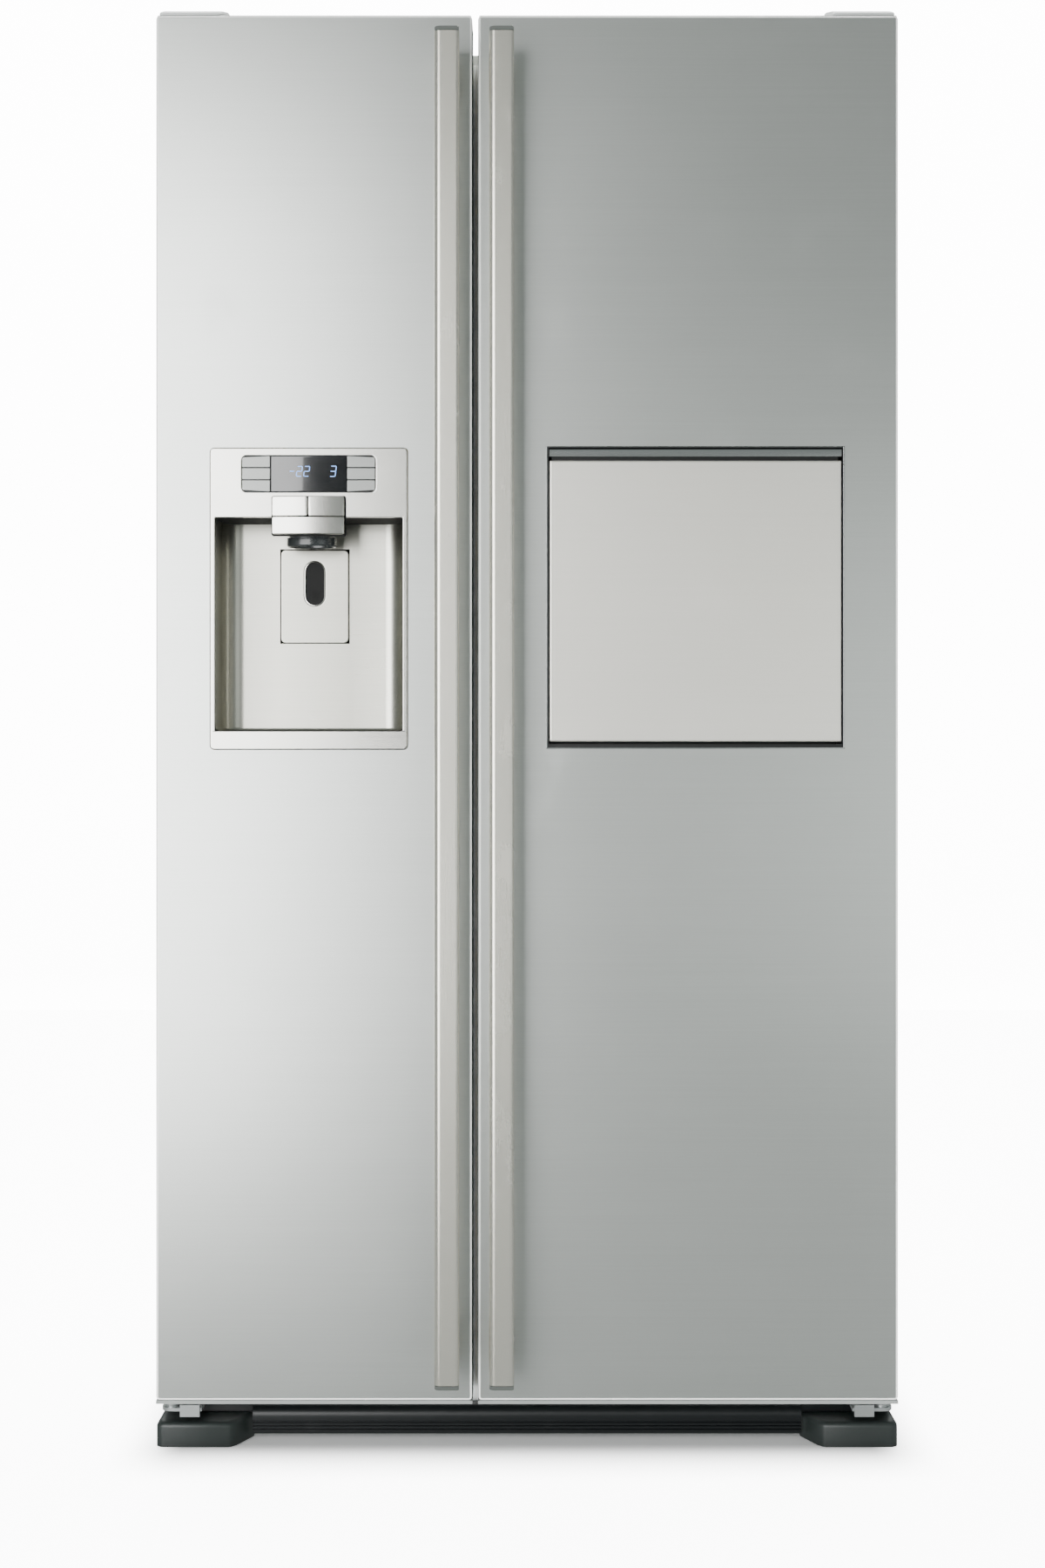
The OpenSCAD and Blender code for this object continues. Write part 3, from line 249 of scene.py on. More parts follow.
wall_bend = 2.2
no_glow, full_glow = (0.01, 0.01, 0.01), (1.0, 1.0, 1.0)
pale = Finish("pale_floor", (0.90, 0.91, 0.91), 0.30, Emission_Strength=6.0)
floor_y = pale.axis(1)
near, far = floor_y.ramp(-4.0, -0.5), floor_y.ramp(0.2, 1.8)
glow = (near * 0.60 + far * 0.40) * (1.0 - floor_shadow_mask(pale))
pale.feed("Emission Color", pale.blend(glow, no_glow, full_glow))
pale.feed("Base Color", pale.blend(floor_y.ramp(-4.0, -0.5), (0.62, 0.63, 0.63), (0.90, 0.91, 0.91)))
pale.feed("Roughness", 0.24 + pale.noise((2.0, 2.0, 2.0)) * 0.12)
sweep_y, sweep_z = wall_line(-12.0, 4.0, 9.0, 0.001)
sweep_x = np.repeat([[-9.0], [9.0]], len(sweep_y), 1)
sweep = np.stack([sweep_x, np.tile(sweep_y, (2, 1)), np.tile(sweep_z, (2, 1))], -1)
studio = add("studio_sweep", grid_mesh("studio_sweep", sweep), pale.material)
studio.visible_glossy = False
studio.visible_camera = False

# The floor and the walls that are seen are one round bowl of plain white paper. It glows evenly except
# under the cabinet, where a mask turns its glow off as a painted shadow and the plain paper shows the
# lamps' real shade. It throws no light, so every side of the room looks the same.

paper = Finish("paper_bowl", (0.80, 0.80, 0.80), 0.60, Emission_Strength=10.0)
# The glow stops under the cabinet: a painted shadow.
paper.feed("Emission Color", paper.blend(1.0 - floor_shadow_mask(paper), no_glow, full_glow))
bowl_r, bowl_z = wall_line(0.01, 5.5, 14.0, 0.0001)
bowl_turn = np.linspace(0.0, 2 * np.pi, 96, endpoint=False)
bowl_heights = np.repeat(bowl_z[:, None], len(bowl_turn), 1)
bowl_x, bowl_y = np.outer(bowl_r, np.cos(bowl_turn)), np.outer(bowl_r, np.sin(bowl_turn))
bowl = np.stack([bowl_x, bowl_y, bowl_heights], -1)
screen = add("paper_bowl", grid_mesh("paper_bowl", bowl, close_v=True), paper.material)
screen.visible_glossy = False
screen.visible_diffuse = False
screen.visible_transmission = False
screen.visible_shadow = False


# ---------------------------------------------------------------- Door skins
# Each door front is one sheet of silver steel with a level grain, rolled over a small soft bevel and folded
# back along all four sides. The fold is dark grey; the outer rows of the bevel carry the same dark grey as
# painted shade along the edge, and its inner rows a near-white painted highlight. The freezer door's sheet
# is cut out for the dispenser, the fridge door's for the home bar.


def brushed_metal(name, colour, roughness, along, grain=1.0, Metallic=1.0):
    """Metal brushed along one axis: long fine scratches, slow mottling, faint handling marks."""
    across = np.full(3, 1500.0)
    across[along] = 9.0
    made = Finish(name, colour, roughness, Metallic=Metallic)
    scratch = made.noise(tuple(across), 4.0)
    coarse = made.noise(tuple(across * 0.23), 2.0)
    cloud = made.noise((3.1, 3.1, 3.1))
    marks = made.noise((17.0, 17.0, 11.0), 5.0).ramp(0.58, 0.78)
    dark = tuple(c * (1.0 - 0.16 * grain) for c in colour)
    light = tuple(min(1.0, c * (1.0 + 0.12 * grain)) for c in colour)
    made.feed("Base Color", made.blend(scratch * 0.6 + coarse * 0.4, dark, light))
    made.feed("Roughness", roughness - 0.07 + scratch * (0.08 * grain) + cloud * 0.05 + marks * 0.03)
    made.bump(scratch + coarse * 0.5, 0.10 * grain, 0.0004)
    return made.material


def moulded_plastic(name, colour, roughness, speckle=0.08, **fixed):
    """Moulded plastic: fine erosion grain in bump and gloss, and a slow change of tone."""
    made = Finish(name, colour, roughness, **fixed)
    grain = made.noise((900.0, 900.0, 900.0), 2.0)
    cloud = made.noise((4.0, 4.0, 4.0))
    dust = made.noise((38.0, 38.0, 30.0), 5.0).ramp(0.55, 0.8)
    low = tuple(c * (1.0 - speckle) for c in colour)
    high = tuple(min(1.0, c * (1.0 + speckle)) for c in colour)
    made.feed("Base Color", made.blend(grain * 0.35 + cloud * 0.65, low, high))
    made.feed("Roughness", roughness - 0.06 + grain * 0.06 + dust * 0.10)
    made.bump(grain, 0.12, 0.0002)
    return made.material


def outline(low, high, radius, steps=6):
    """Rectangle with quarter circles of one radius about its four corner centres."""
    low, high = np.array(low, float), np.array(high, float)
    turn = np.linspace(0.0, np.pi / 2, steps + 1)
    corners = []
    for k, side in enumerate(((1, 1), (-1, 1), (-1, -1), (1, -1))):
        centre = np.where(np.array(side) > 0, high - radius, low + radius)
        angle = turn + k * np.pi / 2
        corners.append(centre + radius * np.stack([np.cos(angle), np.sin(angle)], -1))
    return np.concatenate(corners)


def stack(rings, levels, axis):
    """Sets each flat ring at its level along one axis: 0 is X, 1 is Y and 2 is Z."""
    flat = [i for i in range(3) if i != axis]
    made = np.zeros((len(rings), len(rings[0]), 3))
    made[:, :, flat] = np.array(rings)
    made[:, :, axis] = np.array(levels)[:, None]
    return made


def finished(name, mesh, body, replaced, slot, *materials, sharp=35.0):
    """Merges a closed mesh's doubles, turns its faces outwards, keeps its folds crisp and adds it."""
    work = bmesh.new()
    work.from_mesh(mesh)
    bmesh.ops.remove_doubles(work, verts=work.verts, dist=1e-6)
    bmesh.ops.dissolve_degenerate(work, edges=work.edges, dist=1e-7)
    bmesh.ops.recalc_face_normals(work, faces=work.faces)
    work.to_mesh(mesh)
    work.free()
    mesh.set_sharp_from_angle(angle=np.radians(sharp))
    piece = add(name, mesh, *materials)
    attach(piece, body)
    if replaced:
        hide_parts(*replaced)
    return piece


def solid(name, rings, body, replaced, slot, *materials, sharp=35.0):
    """Piece whose skin follows stacked closed rings, with one face on the first and one on the last."""
    mesh = grid_mesh(name, rings, close_v=True, caps=True)
    return finished(name, mesh, body, replaced, slot, *materials, sharp=sharp)


door_silver = brushed_metal("door_silver", shade(200, 203, 200), 0.33, 0, 0.5, 0.9)
# Dark grey for the doors' side folds, the handle seams, the fans and the cord inlet; on the outer rows of
# each door's bevel it is painted shade along the edge.
dark_grey_and_edge_shade = moulded_plastic("dark_grey_and_painted_edge_shade", shade(66, 72, 70), 0.45)
# A near-white copy of the door steel for the inner rows of the bevel: a painted highlight.
bevel_painted_highlight = brushed_metal("door_bevel_light", shade(252, 252, 250), 0.30, 0, 0.1, 0.25)
sheet, bevel, lead, door_corner, cap_step = 0.0012, 0.0028, 0.0012, 0.0045, 0.0003
edge_rows, bevel_rows = 4, 8


def door_skin(name, body, hole):
    """Rings run from the back of the side fold round the bevel, over the front and through the hole."""
    low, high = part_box(name)
    foot, head = low[2] + cap_step, high[2] - cap_step
    turn = np.linspace(0.0, np.pi / 2, 8)

    def edge(inset):
        radius = max(door_corner - inset, 0.0006)
        return outline((low[0] + inset, foot + inset), (high[0] - inset, head - inset), radius)

    rings = [edge(0.0)] + [edge(bevel * (1.0 - np.cos(t))) for t in turn] + [edge(bevel + lead)]
    levels = [high[1]] + [low[1] + bevel * (1.0 - np.sin(t)) for t in turn] + [low[1]]
    rings += [hole, hole, edge(bevel + lead), edge(sheet), edge(sheet)]
    levels += [low[1], low[1] + sheet, low[1] + sheet, low[1] + sheet + bevel, high[1]]
    mesh = grid_mesh(name + "_front", stack(rings, levels, 1), close_u=True, close_v=True)
    # The side fold takes its own dark grey, the outer bevel rows the same dark grey as painted shade, the
    # next bevel rows the painted highlight, and the rest the silver.
    rows = np.arange(len(mesh.polygons)) // len(hole)
    paint = np.select([rows < edge_rows, rows < bevel_rows], [1, 2], 0)
    mesh.polygons.foreach_set("material_index", paint.astype(np.int32))
    paints = (door_silver, dark_grey_and_edge_shade, bevel_painted_highlight)
    return finished(name + "_front", mesh, body, [name], "door_steel", *paints)


bezel_low, bezel_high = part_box("dispenser_bezel")
bar_low, bar_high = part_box("home_bar_frame")
cut_line = 0.0008
dispenser_hole = outline((bezel_low[0] - cut_line, bezel_low[2] - cut_line),
                         (bezel_high[0] + cut_line, bezel_high[2] + cut_line), 0.0058)
bar_hole = outline((bar_low[0], bar_low[2]), (bar_high[0], bar_high[2]), 0.0012)
door_skin("freezer_door_skin", "freezer_door", dispenser_hole)
door_skin("fridge_door_skin", "fridge_door", bar_hole)


# ---------------------------------------------------------------- Door handles
# Two full-height extruded aluminium bars, brushed along their length, with a broad
# round left edge and a narrow right one. Each ends in a polished cap, and hollow
# stand-offs hold it clear of the door.

handle_metal = brushed_metal("handle_aluminium", shade(222, 219, 208), 0.30, 2, 0.3, 0.92)
polished_metal = brushed_metal("polished_cap", shade(226, 226, 222), 0.12, 0, 0.15)


def bar_profile(low, high, inset=0.0):
    """Cross-section of a bar: broad quarter circle, flat face, narrow quarter circle, flat back."""
    x0, x1, y0 = low[0] + inset, high[0] - inset, low[1] + inset
    y1 = low[1] + bar_depth - inset
    wide, narrow, back = 0.0072 - inset, 0.0034 - inset, 0.0016
    turn = np.linspace(0.0, np.pi / 2, 11)
    left = np.stack([x0 + wide - wide * np.cos(turn), y0 + wide - wide * np.sin(turn)], -1)
    right = np.stack([x1 - narrow + narrow * np.sin(turn), y0 + narrow - narrow * np.cos(turn)], -1)
    rear = np.array([[x1, y1 - back], [x1 - back, y1], [x0 + back, y1], [x0, y1 - back]])
    lead = 0.0008
    flat = np.array([[x0 + wide + lead, y0], [x1 - narrow - lead, y0]])
    return np.concatenate([left, flat, right, rear])


bar_depth = 0.019
bar_chamfer = 0.0004
cap_height = 0.0050
cap_seam = 0.0006
standoff_in = 0.036
standoff_half = 0.030
for name, body in (("freezer_handle", "freezer_door"), ("fridge_handle", "fridge_door")):
    low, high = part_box(name)
    bar_ends = (low[2] + cap_height + cap_seam, high[2] - cap_height - cap_seam)
    rings = [bar_profile(low, high, i) for i in (bar_chamfer, 0.0, 0.0, bar_chamfer)]
    levels = [bar_ends[0], bar_ends[0] + bar_chamfer, bar_ends[1] - bar_chamfer, bar_ends[1]]
    solid(name + "_bar", stack(rings, levels, 2), body, [name], "handle_metal", handle_metal)
    for end, inner, outer in (("top", high[2] - cap_height, high[2]),
                              ("bottom", low[2] + cap_height, low[2])):
        step = np.sign(outer - inner) * 0.0016
        rings = [bar_profile(low, high, i) for i in (0.0008, 0.0, 0.0, 0.0005, 0.0016)]
        levels = [inner, inner, outer - step, outer - step * 0.3, outer]
        solid(f"{name}_{end}_cap", stack(rings, levels, 2), body, [], "handle_metal", polished_metal)
        seam = [bar_profile(low, high, 0.0010)] * 2
        rings = stack(seam, [inner, inner - step * 0.6], 2)
        solid(f"{name}_{end}_seam", rings, body, [], "dark_plastic", dark_grey_and_edge_shade)
    for end, centre in (("top", high[2] - standoff_in), ("bottom", low[2] + standoff_in)):
        block_low = np.array([low[0] + 0.004, centre - standoff_half])
        block_high = np.array([high[0] - 0.004, centre + standoff_half])
        rings = [outline(block_low + g, block_high - g, 0.004) for g in (0.0010, 0.0010, 0.0, 0.0)]
        bar_back = low[1] + bar_depth
        levels = [bar_back - 0.001, bar_back + 0.001, bar_back + 0.004, high[1]]
        solid(f"{name}_{end}_standoff", stack(rings, levels, 1), body, [], "handle_metal", handle_metal)


# ---------------------------------------------------------------- Dispenser bezel
# One pressed plate of brushed steel with softly rolled edges, open for the recess and
# the key field. It stands a little proud of the door inside a thin gap line.


def cut_plate(name, outer, holes, y0, y1, roll):
    """Flat plate between y0 and y1 with rounded rectangular openings.

    Each rim is a quarter circle of radius roll; the front and back faces are filled
    between the outer rim and the rims of the openings.
    """
    work = bmesh.new()
    turn = np.linspace(0.0, np.pi / 2, 5)
    ends = [[], []]
    for (low, high, radius), side in [(outer, 1.0)] + [(hole, -1.0) for hole in holes]:
        low, high = np.array(low), np.array(high)
        insets = [roll + 0.0008] + list(roll * (1.0 - np.cos(turn[::-1]))) + [0.0]
        levels = [y0] + list(y0 + roll * (1.0 - np.sin(turn[::-1]))) + [y1]
        rings = [outline(low + side * i, high - side * i, max(radius - side * i, 0.0003)) for i in insets]
        grid = stack(rings, levels, 1)
        rows = [[work.verts.new(p) for p in row] for row in grid]
        count = len(rows[0])
        for upper, lower in zip(rows, rows[1:]):
            for k in range(count):
                n = (k + 1) % count
                work.faces.new((upper[k], upper[n], lower[n], lower[k]))
        for end, row in zip(ends, (rows[0], rows[-1])):
            end.extend(work.edges.get((row[k], row[(k + 1) % count])) for k in range(count))
    for end in ends:
        bmesh.ops.triangle_fill(work, use_beauty=True, use_dissolve=False, edges=end)
    for face in work.faces:
        face.smooth = True
    mesh = bpy.data.meshes.new(name)
    work.to_mesh(mesh)
    work.free()
    return mesh


bright_steel = brushed_metal("bright_steel", shade(212, 211, 205), 0.25, 0, 0.6)
# Near-black sheets stand in the dispenser's gaps and hollows as painted shade: the lip line, the niche
# ceiling, the backs of the pocket and the slot, and the ring behind the nose.
gap_shade_black = moulded_plastic("painted_gap_shade", shade(6, 7, 7), 0.75)

recess_low, recess_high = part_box("dispenser_recess")
display_low, display_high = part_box("dispenser_display")
recess_wall = 0.002
middle = (bezel_low[0] + bezel_high[0]) / 2
plate_y0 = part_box("key_left_top")[0][1] + 0.0012
plate_y1 = plate_y0 + 0.004
mouth = ((recess_low[0] + recess_wall, recess_low[2] + recess_wall),
         (recess_high[0] - recess_wall, recess_high[2] - recess_wall), 0.0012)
field = ((display_low[0], display_low[2]), (display_high[0], display_high[2]), 0.0060)
mesh = cut_plate("dispenser_plate", ((bezel_low[0], bezel_low[2]), (bezel_high[0], bezel_high[2]), 0.0050),
                 [mouth, field], plate_y0, plate_y1, 0.0009)
finished("dispenser_plate", mesh, "freezer_door", ["dispenser_bezel"], "bright_steel", bright_steel)
# The near-black strip under the mouth is the painted shade of the lip line.
lip_line = outline((mouth[0][0] - 0.003, mouth[0][1] - 0.001), (mouth[1][0] + 0.003, mouth[0][1]), 0.0004)
rings = stack([lip_line] * 2, [plate_y0 - 0.0001, plate_y0 + 0.002], 1)
solid("dispenser_lip_line", rings, "freezer_door", [], "dark_plastic", gap_shade_black)


# ---------------------------------------------------------------- Dispenser recess
# A deep-drawn steel niche behind the plate: straight sides that turn into the back over a broad radius, a
# level floor with a soft fillet and a black ceiling. Its steel is a darker copy of the plate's, painted
# shade for the recess, and the black ceiling is painted shade too. A square pocket in its back holds the
# lever; its black back is painted shade.

niche_r = 0.026
paddle_w = 0.085
niche_y0 = plate_y0 + 0.0042
niche_low = np.array([recess_low[0] + recess_wall, niche_y0])
paddle_low, paddle_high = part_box("dispenser_lever")
niche_back = paddle_low[1] + 0.001
niche_high = np.array([recess_high[0] - recess_wall, niche_back])
pocket_half = paddle_w / 2 + 0.0012
pocket_z = (paddle_low[2] - 0.0009, paddle_high[2] + 0.0009)


def niche_curve(gap):
    """Level line round the niche from the left front edge to the right one, gap inside the wall."""
    turn = np.linspace(0.0, np.pi / 2, 15)
    r = niche_r - gap
    x0, x1, back = niche_low[0] + gap, niche_high[0] - gap, niche_high[1] - gap
    left = np.stack([x0 + r - r * np.cos(turn), back - r + r * np.sin(turn)], -1)
    right = np.stack([x1 - r + r * np.sin(turn), back - r + r * np.cos(turn)], -1)
    pocket = [[middle - pocket_half, back], [middle + pocket_half, back]]
    return np.concatenate([[[x0, niche_low[1]]], left, pocket, right, [[x1, niche_low[1]]]])


floor_z, ceiling_z = recess_low[2] + recess_wall, recess_high[2] - recess_wall
turn = np.linspace(0.0, np.pi / 2, 7)
fillet = 0.006
rows = [niche_curve(fillet * (1.0 - np.sin(t)) + 0.0001) for t in turn]
heights = [floor_z + fillet * (1.0 - np.cos(t)) for t in turn]
first_pocket_row = len(rows)
rows += [niche_curve(0.0001)] * 4
heights += [pocket_z[0], pocket_z[1], ceiling_z - 0.001, ceiling_z]
outside = stack([niche_curve(-0.0015)] * 4, [ceiling_z, pocket_z[1], pocket_z[0], floor_z - 0.001], 2)
grid = np.concatenate([stack(rows, heights, 2), outside])
mesh = grid_mesh("niche_wall", grid, close_u=True)

# The quad between the pocket's two points, and the one behind it, are swapped for the four
# sides of the opening. The front point and the 15 points of the bend come before them.
columns = grid.shape[1]
left_column = 16
corner = first_pocket_row * columns + left_column
outer_corner = (len(rows) + 1) * columns + left_column
behind = outer_corner + columns
work = bmesh.new()
work.from_mesh(mesh)
work.verts.ensure_lookup_table()
near = [work.verts[k] for k in (corner, corner + 1, corner + columns + 1, corner + columns)]
far = [work.verts[k] for k in (behind, behind + 1, outer_corner + 1, outer_corner)]
for ring in (near, far):
    face = next(f for f in ring[0].link_faces if set(ring) == set(f.verts))
    work.faces.remove(face)
for k in range(4):
    work.faces.new((near[k], near[(k + 1) % 4], far[(k + 1) % 4], far[k]))
work.to_mesh(mesh)
work.free()
# The niche, the pocket and the lever take a darker copy of the plate's bright steel: painted shade for the
# recess.
shaded_niche_steel = brushed_metal("shaded_niche_steel", shade(188, 187, 178), 0.30, 0, 0.8)
finished("niche_wall", mesh, "freezer_door", ["dispenser_recess"], "bright_steel", shaded_niche_steel)

niche_sheet = 0.001
for name, level, inset, material in (("niche_floor", floor_z - niche_sheet, fillet, bright_steel),
                                     ("niche_ceiling", ceiling_z, 0.0, gap_shade_black)):
    rings = stack([niche_curve(inset)] * 2, [level, level + niche_sheet], 2)
    solid(name, rings, "freezer_door", [], "bright_steel", material)

pocket_wall = 0.0012
pocket_end = niche_back + 0.0235
pocket_low = np.array([middle - pocket_half, pocket_z[0]])
pocket_high = np.array([middle + pocket_half, pocket_z[1]])
rings = [outline(pocket_low - g, pocket_high + g, 0.0002) for g in (0.0, 0.0, pocket_wall, pocket_wall)]
levels = [niche_back + 0.0005, pocket_end, pocket_end + pocket_wall, niche_back + 0.0005]
mesh = grid_mesh("lever_pocket", stack(rings, levels, 1), close_u=True, close_v=True)
finished("lever_pocket", mesh, "freezer_door", [], "bright_steel", shaded_niche_steel)
rings = stack(rings[:2], [pocket_end - 0.0008, pocket_end], 1)
solid("pocket_back", rings, "freezer_door", [], "dark_plastic", gap_shade_black)


# ---------------------------------------------------------------- Keys and display
# A black board behind the plate carries six soft-touch keys in two columns of three and
# a smoked window between them, with pale blue digits that glow through it.

board = moulded_plastic("key_board", shade(14, 15, 15), 0.35)
window_glass = Finish("smoked_window", shade(10, 12, 16), 0.06, Coat_Weight=1.0, Coat_Roughness=0.02)
window_glass.feed("Roughness", 0.05 + window_glass.noise((40.0, 40.0, 40.0)) * 0.05)
window_x0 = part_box("key_left_top")[1][0] + 0.0010
window_x1 = 2 * middle - window_x0
window_z0, window_z1 = display_low[2] + 0.0007, display_high[2] - 0.0007
slack = 0.0002
backing = outline((display_low[0] + slack, display_low[2] + slack),
                  (display_high[0] - slack, display_high[2] - slack), 0.0058)
rings = stack([backing] * 2, [plate_y0 + 0.0026, display_high[1]], 1)
solid("key_board", rings, "freezer_door", ["dispenser_display"], "display_window", board)


def pad(low, high, corner, y0, y1, roll):
    """Rings of a rounded plate whose front edge is a quarter circle of radius roll."""
    low, high = np.array(low), np.array(high)
    turn = np.linspace(0.0, np.pi / 2, 6)
    insets = [roll + 0.0006] + list(roll * (1.0 - np.sin(turn))) + [0.0]
    levels = [y0] + list(y0 + roll * (1.0 - np.cos(turn))) + [y1]
    return stack([outline(low + i, high - i, max(corner - i, 0.0002)) for i in insets], levels, 1)


window_y0, window_y1 = plate_y0 - 0.0004, plate_y0 + 0.003
rings = pad((window_x0, window_z0), (window_x1, window_z1), 0.0010, window_y0, window_y1, 0.0005)
solid("display_window", rings, "freezer_door", [], "display_window", window_glass.material)

key_plastic = brushed_metal("key_face", shade(140, 142, 140), 0.36, 0, 0.5, 0.75)
field_r = 0.0055
for side in ("left", "right"):
    for row in ("top", "middle", "low"):
        name = f"key_{side}_{row}"
        low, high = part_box(name)
        rings = pad((low[0], low[2]), (high[0], high[2]), 0.0012, low[1], high[1], 0.0005)
        if row != "middle":
            # The outer corner is pushed in to follow the corner circle of the key field.
            outer_x = low[0] if side == "left" else high[0]
            inward = 1.0 if side == "left" else -1.0
            end_z = high[2] if row == "top" else low[2]
            down = -1.0 if row == "top" else 1.0
            across, along = (rings[:, :, 0] - outer_x) * inward, (rings[:, :, 2] - end_z) * down
            cut = np.clip(field_r - np.minimum(across, field_r), 0, None)
            reach = field_r - np.sqrt(np.clip(field_r ** 2 - cut ** 2, 0, None))
            rings[:, :, 2] += down * np.where(along < field_r, np.maximum(reach - along, 0.0), 0.0)
        solid(name + "_cap", rings, name + "_cap", [name], "key_plastic", key_plastic)

digit_glow = Finish("digit_glow", shade(120, 160, 225), 0.4, Emission_Strength=1.2)
glow = digit_glow.blend(digit_glow.noise((900.0,) * 3), shade(70, 120, 215), shade(130, 175, 240))
digit_glow.feed("Emission Color", glow)

# Each stroke of a figure runs from one corner of a grid, one wide and two high, to another.
strokes = {"top": (0, 2, 1, 2), "upper_left": (0, 1, 0, 2), "upper_right": (1, 1, 1, 2),
           "middle": (0, 1, 1, 1), "lower_left": (0, 0, 0, 1), "lower_right": (1, 0, 1, 1),
           "bottom": (0, 0, 1, 0)}
figures = {"2": ("top", "upper_right", "middle", "lower_left", "bottom"), "-": ("middle",),
           "3": ("top", "upper_right", "middle", "lower_right", "bottom")}
digit_w, digit_h, digit_step = 0.0062, 0.0060, 0.0090
stroke_w, stroke_in, stroke_tip, slope = 0.0010, 0.0005, 0.0002, 0.12
glow_faces = []
for text, x0, size in (("-22", window_x0 + 0.0195, 1.0), ("3", window_x1 - 0.0225, 1.05)):
    for place, figure in enumerate(text):
        for stroke in figures[figure]:
            a, b, c, d = strokes[stroke]
            left = x0 + place * digit_step * size + a * digit_w * size
            right = x0 + place * digit_step * size + c * digit_w * size
            foot = (window_z0 + window_z1) / 2 - digit_h * size + b * digit_h * size + 0.003
            head = foot + (d - b) * digit_h * size
            flat = np.array([[left, foot], [right, head]])
            lie = np.array([1.0, 0.0]) if b == d else np.array([0.0, 1.0])
            cross = lie[::-1] * stroke_w / 2
            start, end = flat[0] + lie * stroke_in, flat[1] - lie * stroke_in
            ring = np.array([start - cross, end - cross, end + lie * stroke_tip,
                             end + cross, start + cross, start - lie * stroke_tip])
            ring[:, 0] += (ring[:, 1] - window_z0) * slope
            glow_faces.append(ring)
count = len(glow_faces)
points = np.concatenate(glow_faces)
front = np.stack([points[:, 0], np.full(len(points), plate_y0 - 0.00048), points[:, 1]], -1)
rear = front + np.array([0.0, 0.00012, 0.0])
loops = np.arange(len(points)).reshape(count, -1)
after = np.roll(loops, -1, 1)
sides = np.stack([loops, after, after + len(points), loops + len(points)], -1).reshape(-1, 4)
faces = loops.tolist() + (loops[:, ::-1] + len(points)).tolist() + sides.tolist()
mesh = bpy.data.meshes.new("display_digits")
mesh.from_pydata(np.concatenate([front, rear]).tolist(), [], faces)
finished("display_digits", mesh, "freezer_door", [], "display_window", digit_glow.material)


# ---------------------------------------------------------------- Buttons and chute cover
# Two press buttons sit side by side on a bowed nose over the recess, with the fixed
# cover of the ice chute under them. All three are drawn in the same brushed steel.

button_low, button_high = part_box("press_button_left")
button_y0 = button_low[1]
nose_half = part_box("press_button_right")[1][0] - middle
nose_bow = 0.003
nose_r = (nose_half ** 2 + nose_bow ** 2) / (2 * nose_bow)


def bowed_cap(x0, x1, z0, z1, y1, roll=0.0008, corner=0.0022):
    """Rings of a block whose front follows a broad circle about the nose's middle line."""
    turn = np.linspace(0.0, np.pi / 2, 6)
    insets = list(roll * (1.0 - np.sin(turn))) + [0.0]
    depths = list(roll * (1.0 - np.cos(turn))) + [None]
    made = []
    for inset, depth in zip(insets, depths):
        ring = outline((x0 + inset, z0 + inset), (x1 - inset, z1 - inset), max(corner - inset, 0.0003))
        across = ring[:, 0] - middle
        sag = nose_r - np.sqrt(nose_r ** 2 - across ** 2)
        level = np.full(len(ring), y1) if depth is None else button_y0 + sag + depth
        made.append(np.stack([ring[:, 0], level, ring[:, 1]], -1))
    return np.array(made)


def bowed_front(name, rings):
    """Closes the rings with a front face cut into upright strips, so that it follows the bow."""
    work = bmesh.new()
    rows = [[work.verts.new(p) for p in ring] for ring in rings]
    count = len(rows[0])
    for upper, lower in zip(rows, rows[1:]):
        for k in range(count):
            work.faces.new((upper[k], upper[(k + 1) % count], lower[(k + 1) % count], lower[k]))
    front = [work.edges.get((rows[0][k], rows[0][(k + 1) % count])) for k in range(count)]
    face = bmesh.ops.contextual_create(work, geom=front)["faces"]
    work.faces.new(rows[-1])
    low, high = rings[0][:, 0].min(), rings[0][:, 0].max()
    for x in np.linspace(low, high, 15)[1:-1]:
        geometry = face + [e for f in face for e in f.edges] + [v for f in face for v in f.verts]
        cut = bmesh.ops.bisect_plane(work, geom=list(set(geometry)), plane_co=(x, 0, 0), plane_no=(1, 0, 0))
        added = [g for g in cut["geom"] if isinstance(g, bmesh.types.BMFace)]
        face = added or face
    for vert in {v for f in face for v in f.verts}:
        vert.co.y = button_y0 + nose_r - np.sqrt(nose_r ** 2 - (vert.co.x - middle) ** 2)
    for f in work.faces:
        f.smooth = True
    mesh = bpy.data.meshes.new(name)
    work.to_mesh(mesh)
    work.free()
    return mesh


for side in ("left", "right"):
    name = f"press_button_{side}"
    low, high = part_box(name)
    mesh = bowed_front(name + "_cap", bowed_cap(low[0], high[0], low[2], high[2], high[1]))
    finished(name + "_cap", mesh, f"{side}_button", [name], "bright_steel", bright_steel)
cover_z0 = button_low[2] - 0.0216
nose_x0, nose_x1, nose_gap = middle - nose_half, middle + nose_half, 0.0017
rings = bowed_cap(nose_x0, nose_x1, cover_z0, button_low[2] - 0.0005, plate_y0 + 0.003)
finished("chute_cover", bowed_front("chute_cover", rings), "freezer_door", [], "bright_steel", bright_steel)
# A near-black ring behind the nose shows round it as the painted shade of its gap.
ring = outline((nose_x0 - nose_gap, cover_z0 - 0.0015), (nose_x1 + nose_gap, button_high[2] + nose_gap),
               0.003)
rings = stack([ring, ring], [plate_y0 - 0.0003, plate_y0 + 0.003], 1)
solid("nose_gap", rings, "freezer_door", [], "dark_plastic", gap_shade_black)


# ---------------------------------------------------------------- Ice chute funnel
# A moulded black funnel hangs under the chute cover, with a rolled rim, a lighter ring
# round its throat and three thin ribs inside, so that ice falls clear of the steel.

